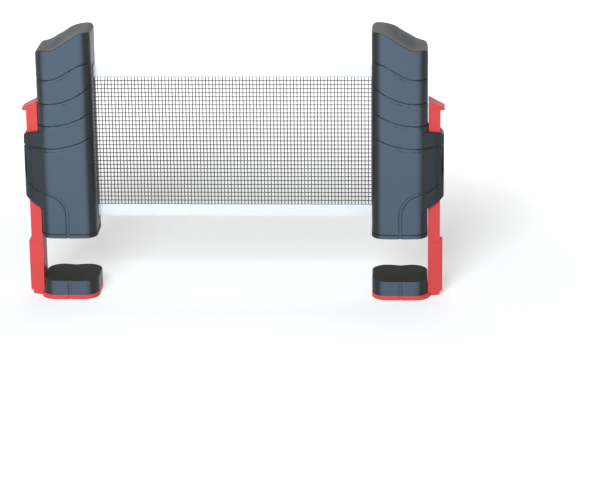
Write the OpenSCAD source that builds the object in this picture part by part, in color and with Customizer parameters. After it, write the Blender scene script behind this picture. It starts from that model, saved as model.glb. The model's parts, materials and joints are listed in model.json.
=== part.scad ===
// A retractable table tennis net between two clamp posts.
// X runs along the net, from the left post to the right one. Y runs across it, with the front at -Y.
// Z is up from the ground under the foot plates. Lengths are in millimetres.
// Every piece of a post is drawn for a post whose inner face is at X = 0 and whose outer face is at
// X = post_w. right() moves it to the right-hand end of the net, and left() mirrors it.

/* [Net] */
// Distance between the inner faces of the two posts
net_span = 268; // [120:1:600]
// Height of the net, with both tapes
net_h = 152.5; // [140:0.5:165]
// Height of one tape
tape_h = 12; // [8:0.5:18]
// Thickness of one folded tape
tape_t = 1.2; // [0.8:0.1:1.5]
// Thickness of the mesh
mesh_t = 0.6; // [0.4:0.1:0.8]
// Openings in the mesh along the net
mesh_columns = 24; // [6:1:24]
// Openings in the mesh from tape to tape
mesh_rows = 12; // [4:1:12]
// Width of mesh left between two openings
mesh_bar = 1.6; // [1:0.1:4]
// Length of net that each roller can let out
net_length = 900; // [600:10:1000]

/* [Post] */
// Width of a post, along the net
post_w = 54.5; // [54:0.5:70]
// Depth of a post, across the net
post_d = 52; // [48:0.5:64]
// Radius of the post's upright corners
corner_r = 13; // [9:0.5:16]
// Wall of the two shells
wall = 2.5; // [2:0.1:3]
// Height of the crest above the top of the net
crest_rise = 36.5; // [36:0.5:60]
// Height of the net above the bottom of the shells
sill_rise = 11; // [11:0.5:30]
// Fall of the wavy top, from its crest to the outer shoulder
top_fall = 17.5; // [8:0.5:18]
// Level stretch at the crest
crest_flat = 4.5; // [2:0.5:10]
// Level stretch at the outer shoulder
shoulder_flat = 11; // [8:0.5:18]
// Radius of the top's inner edge, over the net
crest_r = 3.5; // [1:0.5:6]
// Radius of the shoulder's outer edge
shoulder_r = 5; // [2:0.5:7]

/* [Grooves] */
// Width of the moulded grooves
groove_w = 2; // [1:0.1:3]
// Depth of the moulded grooves
groove_depth = 1.2; // [0.4:0.1:1.5]
// Height of each wave groove below the shoulder, at its level outer end
groove_falls = [28, 51.5, 73.5, 96]; // [20:0.5:110]
// Rise of each wave groove towards the net
groove_rises = [16.2, 18.4, 14.6, 12.6]; // [4:0.1:20]
// Distance of the wave grooves' inner ends from the inner face
groove_start = 3; // [2:0.5:8]
// Height above the shells' bottom at which the S-shaped groove is level
bend_rise = 40.5; // [34:0.5:44]
// Radius of the S-shaped groove's turn near the top of the ear
bend_top_r = 13; // [6:0.5:14]
// Radius of its turn at the bottom of the ear
bend_out_r = 19; // [12:0.5:20]
// Distance of the upright groove's middle from the inner face
upright_groove_x = 28; // [24:0.5:32]

/* [Ear] */
// Reach of the ear past the post's outer face
ear_reach = 15.5; // [15.5:0.5:20]
// Angle by which the ear's faces turn back from the post's front and back
ear_angle = 33; // [28:1:34]
// Top of the ear above the shells' bottom, where it leaves the post
ear_top_rise = 102; // [90:0.5:104]
// Bottom of the ear above the shells' bottom, where it leaves the post
ear_foot_rise = 25; // [20:0.5:26]
// Fall of the ear's top towards its outer edge
ear_top_fall = 3.5; // [1:0.5:5]
// Rise of the ear's underside towards its outer edge
ear_foot_slope = 6; // [2:0.5:8]
// Cut of the ear's outer corners
ear_corner = 3; // [1:0.5:4]
// Cut of the ear's upright outer edges
ear_nose_cut = 2; // [0.5:0.5:3]

/* [Base] */
// Height of the base plate
base_h = 5; // [4.5:0.1:8]
// Height of the seam between the base plate and the shells
seam_h = 1; // [0.5:0.1:1.4]
// Thickness of the base pad
base_pad_t = 2; // [1:0.1:2]
// Distance of the base pad's edge from the post's outline
pad_rim = 1.8; // [1.5:0.1:4]
// Stand of the pads proud of what holds them
pad_proud = 0.4; // [0.2:0.1:0.6]

/* [Roller] */
// Radius of the roller tube
tube_r = 6; // [5.5:0.1:7]
// Wall of the roller tube
tube_wall = 1; // [0.6:0.1:1.2]
// Radius of the fixed spindle
spindle_r = 2.5; // [2:0.1:2.8]
// Side of the spindle's squared end
spindle_key = 3.4; // [2.8:0.1:3.6]
// Length of the bush and of the plug inside the tube
bush_l = 12; // [8:0.5:16]
// Thickness of the bush's and the plug's flanges
flange_t = 2.5; // [1.5:0.1:3]
// Radius of the plug's pin
pin_r = 2; // [1.5:0.1:2.5]
// Wire of the roller spring
roller_wire = 1.2; // [0.8:0.1:1.5]
// Height of the wound net's edges inside the tube's ends
tube_margin = 2.5; // [1.5:0.1:3]
// Thickness of the bulkhead that holds the pin
bulkhead_t = 3; // [2:0.1:4]
// Length of the pin below the bulkhead
pin_room = 2; // [1:0.5:4]
// Length of the pin above the bulkhead
pin_end = 1; // [0.5:0.5:2]
// Width of the saddle that holds the spindle's squared end
saddle_w = 12; // [8:0.5:12]
// Clear space between the mouth's flange and the full roll
roll_space = 3; // [2:0.5:4]

/* [Net mouth] */
// Half of the depth of the lip that shows in the slot
mouth_half = 4; // [3:0.1:6]
// Half of the depth of the flange behind the wall
mouth_flange_half = 6.5; // [6.2:0.1:9]
// Thickness of the flange
mouth_flange_t = 1.5; // [1:0.1:2]
// Clear width beside each face of a tape in the slit
slit_play = 0.5; // [0.4:0.1:0.8]
// Clear height of the slit above and below the net
slit_end = 1.5; // [1:0.1:2]

/* [Clamp] */
// Gap between the base pad and the jaw pad, as opened here
clamp_gap = 42.5; // [20:0.5:43]
// Travel from here to the barb's stop
clamp_extra = 20; // [10:0.5:20]
// Thickness of the foot plate
foot_t = 4.5; // [4:0.1:6]
// Height of the jaw on the foot plate, with its pad
jaw_h = 15; // [13:0.1:18]
// Thickness of the jaw pad
jaw_pad_t = 2.3; // [1.5:0.1:3]
// Depth by which the jaw and foot stand out past the post, front and back together
jaw_extra_d = 2; // [0:0.5:4]
// Radius of the jaw's and the foot's upright corners
jaw_corner_r = 15; // [9:0.5:18]
// Notch in the middle of the jaw's front and back
jaw_notch = 1.6; // [0.8:0.1:2.5]
// Thickness of the slider's arm
arm_t = 11.5; // [9:0.1:11.5]
// Thickness of the arm below the post
arm_low_t = 14.2; // [12:0.1:14.4]
// Depth of the arm beside the post
arm_d = 27; // [22:0.5:27]
// Depth of the arm at its outer face
arm_nose_d = 18; // [14:0.5:18]
// Reach of the barb past the post's outer face
barb_reach = 16; // [15:0.1:17]
// Height of the barb's slanted top
barb_slant = 6.5; // [5:0.5:12]
// Height of the barb's outer edge
barb_lip = 2.5; // [2:0.5:6]
// Height of the arm's bottom corner above the ground
toe_rise = 4.2; // [1:0.1:4.4]
// Width of the arm's level sole
sole_w = 2.3; // [1:0.1:4]
// Width of the barb's level top
barb_flat = 1; // [0.5:0.1:2]
// Gap between the barb and the ear when the jaws are wide open
barb_room = 1.5; // [1:0.5:4]
// Gap left at the other stops of the slider
stop_room = 1; // [0.5:0.1:2]
// Height of the lug's middle above the shells' bottom
lug_rise = 54; // [52:0.5:56]
// Height of the lug that the clamp spring pulls
lug_h = 7; // [5:0.5:9]
// Width of the lug, across the net
lug_w = 7; // [5:0.5:8]
// Radius of the clamp spring, outside
clamp_spring_r = 4; // [3:0.1:4.2]
// Wire of the clamp spring
clamp_wire = 1; // [0.6:0.1:1.2]
// Length of the clamp spring, as drawn out here
clamp_spring_l = 103; // [90:1:106]
// Gap between the clamp spring and the side wall
clamp_spring_gap = 1.5; // [1:0.1:3]
// Thickness of the peg that the clamp spring hangs from
anchor_t = 4; // [3:0.5:6]

/* [Fasteners] */
// Radius of the screws' shanks
screw_r = 1.45; // [1.2:0.05:1.6]
// Radius of the screws' heads
head_r = 2.9; // [2.4:0.1:3]
// Height of the screws' heads
head_h = 1.8; // [1.4:0.1:1.8]
// Radius of the screw bosses
boss_r = 4; // [3.8:0.1:4.2]
// Length of the case screws under their heads
case_screw_l = 34; // [28:1:38]
// Length of the base screws under their heads
base_screw_l = 9; // [7:0.5:10]
// Length of the jaw screws under their heads
jaw_screw_l = 10; // [8:0.5:11]
// Distance between the jaw screws
jaw_screw_gap = 28; // [20:1:30]
// Distance of the screw bosses from the walls
boss_gap = 4; // [3:0.5:5]
// Height of the base screws' bosses above the floor
base_boss_h = 6.5; // [5.5:0.5:8]
// Height of the lower outer boss above the lower inner one
boss_step = 8; // [7:0.5:10]

/* [Clearances] */
// Sliding clearance between the slider and what guides it
slide_play = 0.4; // [0.3:0.05:0.5]
// Running clearance of a pin in its bore
running_play = 0.05; // [0.02:0.01:0.1]
// Clearance round a screw in the piece that it passes through
screw_play = 0.2; // [0.1:0.05:0.3]
// Clearance round a piece that is set into a recess
seat_play = 0.1; // [0.05:0.05:0.2]
// End play of the roller
end_play = 0.3; // [0.2:0.05:0.5]
// Gap between the spindle and its spring
spring_play = 0.4; // [0.2:0.05:0.5]

/* [Hidden] */
POST_PIECES = [
    "front_shell", "rear_shell", "case_screws", "net_mouth", "base_plate", "base_pad",
    "base_screws", "roller_tube", "roller_spindle", "roller_spring", "roller_top_plug",
    "roller_bottom_bush", "net_roll", "clamp_slider", "clamp_spring", "jaw_block", "jaw_pad",
    "jaw_screws"
];
$fn = 64;

// How far a cut runs past the face that it opens
past = 1;
// How far a rib or boss is sunk into the wall that carries it
sunk = 0.5;

// Heights, from the ground up
jaw_top_z = foot_t + jaw_h;
base_z = jaw_top_z + clamp_gap;
shell_z = base_z + base_h;
floor_z = shell_z + wall;
net_z = shell_z + sill_rise;
net_top_z = net_z + net_h;
crest_z = net_top_z + crest_rise;
shoulder_z = crest_z - top_fall;
ear_top_z = shell_z + ear_top_rise;
ear_foot_z = shell_z + ear_foot_rise;
bend_z = shell_z + bend_rise;

// Outline of the post
half_d = post_d / 2;
inner_y = half_d - wall;
shoulder_x = post_w - shoulder_flat;
top_steps = 24;
edge_steps = 6;

// The wound net: its radius follows from the length that is still on the roller
function roll_r(length) = sqrt(pow(tube_r, 2) + length * mesh_t / PI);
roll_rest_r = roll_r(net_length - net_span / 2);
roll_full_r = roll_r(net_length);
mouth_back_x = wall + mouth_flange_t;
roller_x = mouth_back_x + roll_space + roll_full_r;

// The roller, from its saddle up to its bulkhead
tube_z = net_z - tube_margin;
tube_top_z = net_top_z + tube_margin;
bush_z = tube_z - flange_t;
saddle_z = bush_z - end_play;
plug_top_z = tube_top_z + flange_t;
bulkhead_z = plug_top_z + pin_room;
pin_top_z = bulkhead_z + bulkhead_t + pin_end;
tube_bore_r = tube_r - tube_wall;

// The clamp's slider and its spring
arm_x = post_w + slide_play;
arm_out_x = arm_x + arm_t;
arm_low_x = arm_x + arm_low_t;
barb_x = post_w + barb_reach;
barb_z = ear_top_z - ear_top_fall + clamp_extra + barb_room;
arm_top_z = barb_z + barb_lip + barb_slant;
arm_taper = (arm_d - arm_nose_d) / 2 / arm_t;
arm_step_z = ear_foot_z + ear_foot_slope - stop_room - clamp_gap;
spring_x = post_w - wall - clamp_spring_gap - clamp_spring_r;
lug_z = shell_z + lug_rise;
lug_top_z = lug_z + lug_h / 2;
lug_x = spring_x - clamp_spring_r;
anchor_z = lug_top_z + clamp_spring_l;
slot_low_z = lug_z - lug_h / 2 - clamp_extra - stop_room;
slot_top_z = lug_top_z + clamp_gap + stop_room;

// The ear's faces leave the rounded corner a hair inside of its tangent
ear_sink = 0.3;
ear_x = post_w - corner_r + corner_r * sin(ear_angle);
ear_out_x = post_w + ear_reach;
function ear_half_d(x) =
    half_d - corner_r * (1 - cos(ear_angle)) - ear_sink - (x - ear_x) * tan(ear_angle);

// Screws
boss_in_x = wall + boss_gap + boss_r;
boss_out_x = post_w - wall - boss_gap - boss_r;
case_bosses = [
    [boss_in_x, crest_z - wall - boss_gap - 2 * boss_r],
    [boss_out_x, shoulder_z - wall - boss_gap - boss_r],
    [boss_in_x, floor_z - sunk + boss_r],
    [boss_out_x, floor_z - sunk + boss_r + boss_step]
];
head_y = inner_y - head_h;
base_boss_x = post_w / 2;
base_boss_y = inner_y - boss_r - boss_gap;
base_screw_z = base_z + base_pad_t + head_h;
jaw_screw_xs = [(post_w - jaw_screw_gap) / 2, (post_w + jaw_screw_gap) / 2];
jaw_d = post_d + jaw_extra_d;
jaw_gap = 0.3;
jaw_rim = 1.2;

function clamp(t) = max(0, min(1, t));

// Height of the wavy top over a point of the post
function top_z(x) =
    crest_z - top_fall * (1 - cos(180 * clamp((x - crest_flat) / (shoulder_x - crest_flat)))) / 2;

// Rise of a wave groove above its level end. The first one levels out again towards the net.
first_flat = 2;
function s_wave(x) = (1 + cos(180 * clamp((x - first_flat) / (shoulder_x - first_flat)))) / 2;
function arc_wave(x) = pow(clamp((shoulder_x - x) / shoulder_x), 2);
function groove_z(i, x) =
    shoulder_z - groove_falls[i] + groove_rises[i] * (i == 0 ? s_wave(x) : arc_wave(x)) - groove_w / 2;

// Points on an arc, in the front view
function arc_points(x, z, r, from, to, steps) =
    [for (i = [0:steps]) let (a = from + (to - from) * i / steps) [x + r * cos(a), z + r * sin(a)]];

// The outline of a band of an even width along a line of points
function unit(v) = v / norm(v);
function side_of(p, i) =
    let (d = unit(p[min(i + 1, len(p) - 1)] - p[max(i - 1, 0)])) [-d[1], d[0]];
function band(p, w) = concat(
    [for (i = [0:len(p) - 1]) p[i] + side_of(p, i) * w / 2],
    [for (i = [len(p) - 1:-1:0]) p[i] - side_of(p, i) * w / 2]
);

wave_steps = 12;
function wave_line(i, end_x) = concat(
    [for (s = [0:wave_steps]) let (x = groove_start + (shoulder_x - groove_start) * s / wave_steps)
        [x, groove_z(i, x)]],
    [[end_x, groove_z(i, end_x)]]
);

// The lowest wave groove runs on over the ear, back to the front and straight down. Its last arc
// starts at front_turn, a little past the point where the groove is level, so that no point doubles.
bend_edge = 1.5;
front_turn = 100;
bend_out_x = ear_out_x - bend_edge;
bend_in_r = bend_out_x - bend_out_r - upright_groove_x;
bend_start_z = groove_z(3, post_w) - bend_top_r;
bend_line = concat(
    wave_line(3, bend_out_x - bend_top_r - 1),
    arc_points(bend_out_x - bend_top_r, bend_start_z, bend_top_r, 90, 0, 6),
    arc_points(bend_out_x - bend_out_r, bend_z + bend_out_r, bend_out_r, 0, -90, 8),
    arc_points(upright_groove_x + bend_in_r, bend_z - bend_in_r, bend_in_r, front_turn, 180, 8),
    [[upright_groove_x, shell_z - past]]
);

module right() translate([net_span / 2, 0, 0]) children();
module left() mirror([1, 0, 0]) right() children();

// Draws a front-view outline, X and Z, as a solid that is even along Y
module across(depth) rotate([90, 0, 0]) linear_extrude(height = depth, center = true) children();

module rounded_rectangle(w, d, r) {
    translate([r, -d / 2]) square([w - 2 * r, d]);
    translate([0, r - d / 2]) square([w, d - 2 * r]);
    for (x = [r, w - r], y = [r - d / 2, d / 2 - r]) translate([x, y]) circle(r);
}

// The post's outline seen from above, drawn in by a distance all round
module post_plan(inset) {
    translate([inset, 0]) rounded_rectangle(post_w - 2 * inset, post_d - 2 * inset, corner_r - inset);
}

// The post's outline seen from the front
module post_front(inset, bottom_z) {
    x_in = inset + crest_r;
    x_out = post_w - inset - shoulder_r;
    in_edge = arc_points(x_in, crest_z - inset - crest_r, crest_r, 180, 90, edge_steps);
    top = [for (i = [1:top_steps]) let (x = x_in + (shoulder_x - x_in) * i / top_steps)
        [x, top_z(x) - inset]];
    out_edge = arc_points(x_out, shoulder_z - inset - shoulder_r, shoulder_r, 90, 0, edge_steps);
    polygon(concat([[inset, bottom_z]], in_edge, top, out_edge, [[post_w - inset, bottom_z]]));
}

module post_block(inset, bottom_z) {
    intersection() {
        translate([0, 0, bottom_z]) linear_extrude(crest_z - bottom_z) post_plan(inset);
        across(post_d + 2 * past) post_front(inset, bottom_z - past);
    }
}

module ear_block(inset) {
    x_cut = ear_out_x - ear_corner;
    nose_half = ear_half_d(ear_out_x) - ear_nose_cut;
    out_x = ear_out_x - inset;
    cut = inset / cos(ear_angle);
    out_top_z = ear_top_z - ear_top_fall;
    out_foot_z = ear_foot_z + ear_foot_slope;
    intersection() {
        translate([0, 0, ear_foot_z - past]) linear_extrude(ear_top_rise) polygon([
            [ear_x, ear_half_d(ear_x) - cut], [x_cut - inset, ear_half_d(x_cut - inset) - cut],
            [out_x, nose_half - inset], [out_x, inset - nose_half],
            [x_cut - inset, cut - ear_half_d(x_cut - inset)], [ear_x, cut - ear_half_d(ear_x)]
        ]);
        across(post_d) polygon([
            [ear_x, ear_top_z], [x_cut, out_top_z], [out_x, out_top_z - ear_corner],
            [out_x, out_foot_z + ear_corner], [x_cut, out_foot_z],
            [post_w, ear_foot_z], [ear_x, ear_foot_z - ear_corner]
        ]);
    }
}

module grooves() {
    across(post_d + 2 * past) polygon(band(bend_line, groove_w));
    for (i = [0:2]) across(post_d + 2 * past) polygon(band(wave_line(i, post_w + past), groove_w));
}

// The outer form of the closed case, with its grooves
module case_form() {
    difference() {
        union() {
            post_block(0, shell_z);
            ear_block(0);
        }
        grooves();
    }
    post_block(groove_depth, shell_z);
    ear_block(groove_depth);
}

// The slider's arm seen from above. The channel in the ear is the same with play all round.
module arm_plan(play, out_x) {
    in_half = arm_d / 2 + play;
    out_half = arm_d / 2 - arm_taper * (out_x - arm_x) + play;
    polygon([
        [arm_x - play, in_half], [out_x + play, out_half],
        [out_x + play, -out_half], [arm_x - play, -in_half]
    ]);
}

module arm_channel() {
    translate([0, 0, ear_foot_z - 2 * ear_corner])
        linear_extrude(ear_top_rise) arm_plan(slide_play, arm_out_x);
}

module lug_slot() {
    translate([post_w - wall - past, -lug_w / 2 - slide_play, slot_low_z])
        cube([wall + 2 * past, lug_w + 2 * slide_play, slot_top_z - slot_low_z]);
}

module mouth_window() {
    translate([-past, -mouth_half - seat_play, tube_z - seat_play])
        cube([wall + 2 * past, 2 * (mouth_half + seat_play), tube_top_z - tube_z + 2 * seat_play]);
}

// A rod along Y between two depths, at a place in the front view
module rod_y(x, z, r, y_from, y_to) {
    translate([x, y_to, z]) rotate([90, 0, 0]) cylinder(h = y_to - y_from, r = r);
}

// The keyed saddle at the roller's foot and the bulkhead at its top, both cut by the parting plane
module roller_seats() {
    translate([roller_x - saddle_w / 2, -saddle_w / 2, floor_z - sunk])
        cube([saddle_w, saddle_w, saddle_z - floor_z + sunk]);
    intersection() {
        translate([0, 0, bulkhead_z]) linear_extrude(bulkhead_t) post_plan(wall - sunk);
        translate([0, -half_d, bulkhead_z]) cube([roller_x + saddle_w, post_d, bulkhead_t]);
    }
}

module roller_bores() {
    key = spindle_key + 2 * seat_play;
    translate([roller_x - key / 2, -key / 2, floor_z]) cube([key, key, saddle_z - floor_z + past]);
    translate([roller_x, 0, bulkhead_z - past])
        cylinder(h = bulkhead_t + 2 * past, r = pin_r + running_play);
}

// The hollow case with what both shells share, before it is parted
module case_body() {
    difference() {
        union() {
            difference() {
                case_form();
                post_block(wall, floor_z);
            }
            roller_seats();
        }
        roller_bores();
        arm_channel();
        lug_slot();
        mouth_window();
    }
}

module half_space(side) {
    deep = post_d;
    translate([-past, side < 0 ? -deep : 0, shell_z - past])
        cube([ear_out_x + 2 * past, deep, crest_z - shell_z + 2 * past]);
}

module base_boss(side) {
    translate([base_boss_x, side * base_boss_y, floor_z - sunk]) cylinder(h = base_boss_h + sunk, r = boss_r);
}

module base_screw_hole(side) {
    translate([base_boss_x, side * base_boss_y, shell_z - past])
        cylinder(h = floor_z + base_boss_h - shell_z + 2 * past, r = screw_r + running_play);
}

// The peg that the clamp spring hangs from
module spring_anchor() {
    translate([0, 0, anchor_z]) linear_extrude(anchor_t) intersection() {
        post_plan(wall - sunk);
        translate([spring_x - clamp_spring_r, -half_d]) square([2 * clamp_spring_r, half_d]);
    }
}

module front_shell() color("#5d6e7e") {
    difference() {
        union() {
            intersection() {
                case_body();
                half_space(-1);
            }
            for (b = case_bosses) rod_y(b[0], b[1], boss_r, -inner_y - sunk, 0);
            base_boss(-1);
            spring_anchor();
        }
        for (b = case_bosses) rod_y(b[0], b[1], screw_r + running_play, head_y - case_screw_l - past, past);
        base_screw_hole(-1);
    }
}

module rear_shell() color("#5d6e7e") {
    difference() {
        union() {
            intersection() {
                case_body();
                half_space(1);
            }
            for (b = case_bosses) rod_y(b[0], b[1], boss_r, 0, inner_y + sunk);
            base_boss(1);
        }
        for (b = case_bosses) {
            rod_y(b[0], b[1], screw_r + screw_play, -past, half_d);
            rod_y(b[0], b[1], head_r + screw_play, head_y, half_d + past);
        }
        base_screw_hole(1);
    }
}

// A pan-head screw with a cross recess. It points along -Z from the underside of its head at Z = 0.
module screw(length) {
    arm = 0.7 * head_r;
    slot = 0.6;
    difference() {
        union() {
            translate([0, 0, -length]) cylinder(h = length, r = screw_r);
            cylinder(h = head_h, r = head_r);
        }
        for (turn = [0, 90]) rotate([0, 0, turn])
            translate([-arm, -slot / 2, head_h / 2]) cube([2 * arm, slot, head_h]);
    }
}

module case_screws() color("#8b8f94") {
    for (b = case_bosses) translate([b[0], head_y, b[1]]) rotate([-90, 0, 0]) screw(case_screw_l);
}

module net_mouth() color("#1d1e20") {
    slit = tape_t + 2 * slit_play;
    lip_h = tube_top_z - tube_z;
    difference() {
        union() {
            translate([seat_play, -mouth_half, tube_z]) cube([wall - seat_play, 2 * mouth_half, lip_h]);
            translate([wall, -mouth_flange_half, tube_z - mouth_flange_t])
                cube([mouth_flange_t, 2 * mouth_flange_half, lip_h + 2 * mouth_flange_t]);
        }
        translate([-past, -slit / 2, net_z - slit_end])
            cube([mouth_back_x + 2 * past, slit, net_h + 2 * slit_end]);
    }
}

module upright_notch(z, h) {
    for (side = [-1, 1]) translate([upright_groove_x - groove_w / 2, side * half_d - groove_depth, z])
        cube([groove_w, 2 * groove_depth, h]);
}

module base_plate() color("#556474") {
    rim_z = base_z + pad_proud;
    difference() {
        union() {
            translate([0, 0, rim_z]) linear_extrude(shell_z - seam_h - rim_z) post_plan(0);
            translate([0, 0, rim_z]) linear_extrude(shell_z - rim_z) post_plan(groove_depth);
        }
        upright_notch(rim_z - past, base_h + past);
        translate([0, 0, rim_z - past]) linear_extrude(base_z + base_pad_t - rim_z + past) post_plan(pad_rim);
        for (side = [-1, 1]) translate([base_boss_x, side * base_boss_y, base_z]) {
            cylinder(h = base_h + past, r = screw_r + screw_play);
            cylinder(h = base_screw_z - base_z, r = head_r + screw_play);
        }
    }
}

module base_pad() color("#232427") {
    translate([0, 0, base_z]) linear_extrude(base_pad_t) post_plan(pad_rim + seat_play);
}

module base_screws() color("#8b8f94") {
    for (side = [-1, 1]) translate([base_boss_x, side * base_boss_y, base_screw_z])
        rotate([180, 0, 0]) screw(base_screw_l);
}

module ring(r_out, r_in, z_from, z_to) {
    translate([roller_x, 0, z_from]) difference() {
        cylinder(h = z_to - z_from, r = r_out);
        translate([0, 0, -past]) cylinder(h = z_to - z_from + 2 * past, r = r_in);
    }
}

module roller_tube() color("#b9bcc0") {
    ring(tube_r, tube_bore_r, tube_z, tube_top_z);
}

// The spindle stands in the saddle by its squared end and reaches up inside the spring
spindle_room = 6;
spindle_top_z = tube_top_z - bush_l - spindle_room;
module roller_spindle() color("#9a9da2") {
    translate([roller_x - spindle_key / 2, -spindle_key / 2, floor_z])
        cube([spindle_key, spindle_key, saddle_z - floor_z]);
    translate([roller_x, 0, saddle_z]) cylinder(h = spindle_top_z - saddle_z, r = spindle_r);
}

module roller_spring() color("#85888c") {
    spring_in_r = spindle_r + spring_play;
    ring(spring_in_r + roller_wire, spring_in_r, tube_z + bush_l + end_play, tube_top_z - bush_l - end_play);
}

module roller_top_plug() color("#e6e4de") {
    translate([roller_x, 0, tube_top_z - bush_l]) cylinder(h = bush_l, r = tube_bore_r - running_play);
    translate([roller_x, 0, tube_top_z]) cylinder(h = flange_t, r = tube_r);
    translate([roller_x, 0, plug_top_z]) cylinder(h = pin_top_z - plug_top_z, r = pin_r);
}

module roller_bottom_bush() color("#e6e4de") {
    bore_r = spindle_r + running_play;
    ring(tube_r, bore_r, bush_z, tube_z);
    ring(tube_bore_r - running_play, bore_r, tube_z, tube_z + bush_l);
}

module net_roll() color("#77787a") {
    ring(roll_rest_r, tube_r + running_play, net_z, net_top_z);
}

module jaw_plan(inset, x_from, x_to) {
    half = jaw_d / 2 - inset;
    difference() {
        translate([x_from + inset, 0])
            rounded_rectangle(x_to - x_from - 2 * inset, 2 * half, jaw_corner_r - inset);
        for (side = [-1, 1]) translate([upright_groove_x, side * half]) rotate([0, 0, 45])
            square(jaw_notch * sqrt(2), center = true);
    }
}

module clamp_slider() color("#e05a5c") {
    difference() {
        union() {
            intersection() {
                linear_extrude(arm_top_z) arm_plan(0, barb_x);
                across(post_d) polygon([
                    [arm_x, 0], [arm_x + sole_w, 0], [arm_low_x, toe_rise], [arm_low_x, arm_step_z],
                    [arm_out_x, arm_step_z], [arm_out_x, barb_z], [barb_x, barb_z],
                    [barb_x, barb_z + barb_lip], [arm_x + barb_flat, arm_top_z], [arm_x, arm_top_z]
                ]);
            }
            linear_extrude(foot_t) jaw_plan(0, jaw_gap, arm_x + sole_w);
            translate([lug_x, -lug_w / 2, lug_z - lug_h / 2]) cube([arm_x - lug_x + sunk, lug_w, lug_h]);
        }
        for (x = jaw_screw_xs) translate([x, 0, -past]) {
            cylinder(h = foot_t + 2 * past, r = screw_r + screw_play);
            cylinder(h = head_h + past + sunk, r = head_r + screw_play);
        }
    }
}

module clamp_spring() color("#85888c") {
    translate([spring_x, 0, lug_top_z]) difference() {
        cylinder(h = clamp_spring_l, r = clamp_spring_r);
        translate([0, 0, -past]) cylinder(h = clamp_spring_l + 2 * past, r = clamp_spring_r - clamp_wire);
    }
}

module jaw_block() color("#4d5a69") {
    rim_z = jaw_top_z - pad_proud;
    pad_z = jaw_top_z - jaw_pad_t;
    difference() {
        translate([0, 0, foot_t]) linear_extrude(rim_z - foot_t) jaw_plan(0, jaw_gap, post_w);
        translate([0, 0, pad_z]) linear_extrude(jaw_pad_t) jaw_plan(jaw_rim, jaw_gap, post_w);
        for (x = jaw_screw_xs) translate([x, 0, foot_t - past])
            cylinder(h = jaw_screw_l - foot_t + head_h + 2 * past, r = screw_r + running_play);
    }
}

module jaw_pad() color("#232322") {
    translate([0, 0, jaw_top_z - jaw_pad_t]) linear_extrude(jaw_pad_t)
        jaw_plan(jaw_rim + seat_play, jaw_gap, post_w);
}

module jaw_screws() color("#8b8f94") {
    for (x = jaw_screw_xs) translate([x, 0, head_h + sunk]) rotate([180, 0, 0]) screw(jaw_screw_l);
}

// The net's way from a roller to the middle of the slot, seen from above
lead_x = mouth_back_x + sunk;
lead_r = roll_rest_r + tape_t / 2 + running_play;
lead_turn = acos(lead_r / (roller_x - lead_x));
lead_line = [
    [lead_x - past, 0],
    [lead_x, 0],
    [roller_x - lead_r * cos(lead_turn), lead_r * sin(lead_turn)]
];

module lead(thickness) polygon(band(lead_line, thickness));

// A strip of the net, from roller to roller
module net_strip(z, h, thickness) {
    half = net_span / 2 + lead_x;
    translate([-half, -thickness / 2, z]) cube([2 * half, thickness, h]);
    right() translate([0, 0, z]) linear_extrude(h) lead(thickness);
    left() translate([0, 0, z]) linear_extrude(h) lead(thickness);
}

module mesh_openings() {
    pitch_x = net_span / mesh_columns;
    pitch_z = (net_h - 2 * tape_h) / mesh_rows;
    for (i = [0:mesh_columns - 1], k = [0:mesh_rows - 1])
        translate([i * pitch_x + mesh_bar / 2 - net_span / 2, k * pitch_z + mesh_bar / 2 + net_z + tape_h])
            square([pitch_x - mesh_bar, pitch_z - mesh_bar]);
}

module net_mesh() color("#5a5b5c") {
    half = net_span / 2 + lead_x;
    z = net_z + tape_h;
    h = net_h - 2 * tape_h;
    across(mesh_t) difference() {
        translate([-half, z]) square([2 * half, h]);
        mesh_openings();
    }
    right() translate([0, 0, z]) linear_extrude(h) lead(mesh_t);
    left() translate([0, 0, z]) linear_extrude(h) lead(mesh_t);
}

module top_tape() color("#f4f4f6") {
    net_strip(net_top_z - tape_h, tape_h, tape_t);
}

module bottom_tape() color("#f4f4f6") {
    net_strip(net_z, tape_h, tape_t);
}

left() front_shell();  // left_front_shell
left() rear_shell();  // left_rear_shell
left() case_screws();  // left_case_screws
left() net_mouth();  // left_net_mouth
left() base_plate();  // left_base_plate
left() base_pad();  // left_base_pad
left() base_screws();  // left_base_screws
left() roller_tube();  // left_roller_tube
left() roller_spindle();  // left_roller_spindle
left() roller_spring();  // left_roller_spring
left() roller_top_plug();  // left_roller_top_plug
left() roller_bottom_bush();  // left_roller_bottom_bush
left() net_roll();  // left_net_roll
left() clamp_slider();  // left_clamp_slider
left() clamp_spring();  // left_clamp_spring
left() jaw_block();  // left_jaw_block
left() jaw_pad();  // left_jaw_pad
left() jaw_screws();  // left_jaw_screws
right() front_shell();  // right_front_shell
right() rear_shell();  // right_rear_shell
right() case_screws();  // right_case_screws
right() net_mouth();  // right_net_mouth
right() base_plate();  // right_base_plate
right() base_pad();  // right_base_pad
right() base_screws();  // right_base_screws
right() roller_tube();  // right_roller_tube
right() roller_spindle();  // right_roller_spindle
right() roller_spring();  // right_roller_spring
right() roller_top_plug();  // right_roller_top_plug
right() roller_bottom_bush();  // right_roller_bottom_bush
right() net_roll();  // right_net_roll
right() clamp_slider();  // right_clamp_slider
right() clamp_spring();  // right_clamp_spring
right() jaw_block();  // right_jaw_block
right() jaw_pad();  // right_jaw_pad
right() jaw_screws();  // right_jaw_screws
net_mesh();
top_tape();
bottom_tape();
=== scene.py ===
import json
import math
from functools import reduce

import bpy
import numpy as np
from mathutils import Matrix, Vector


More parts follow.
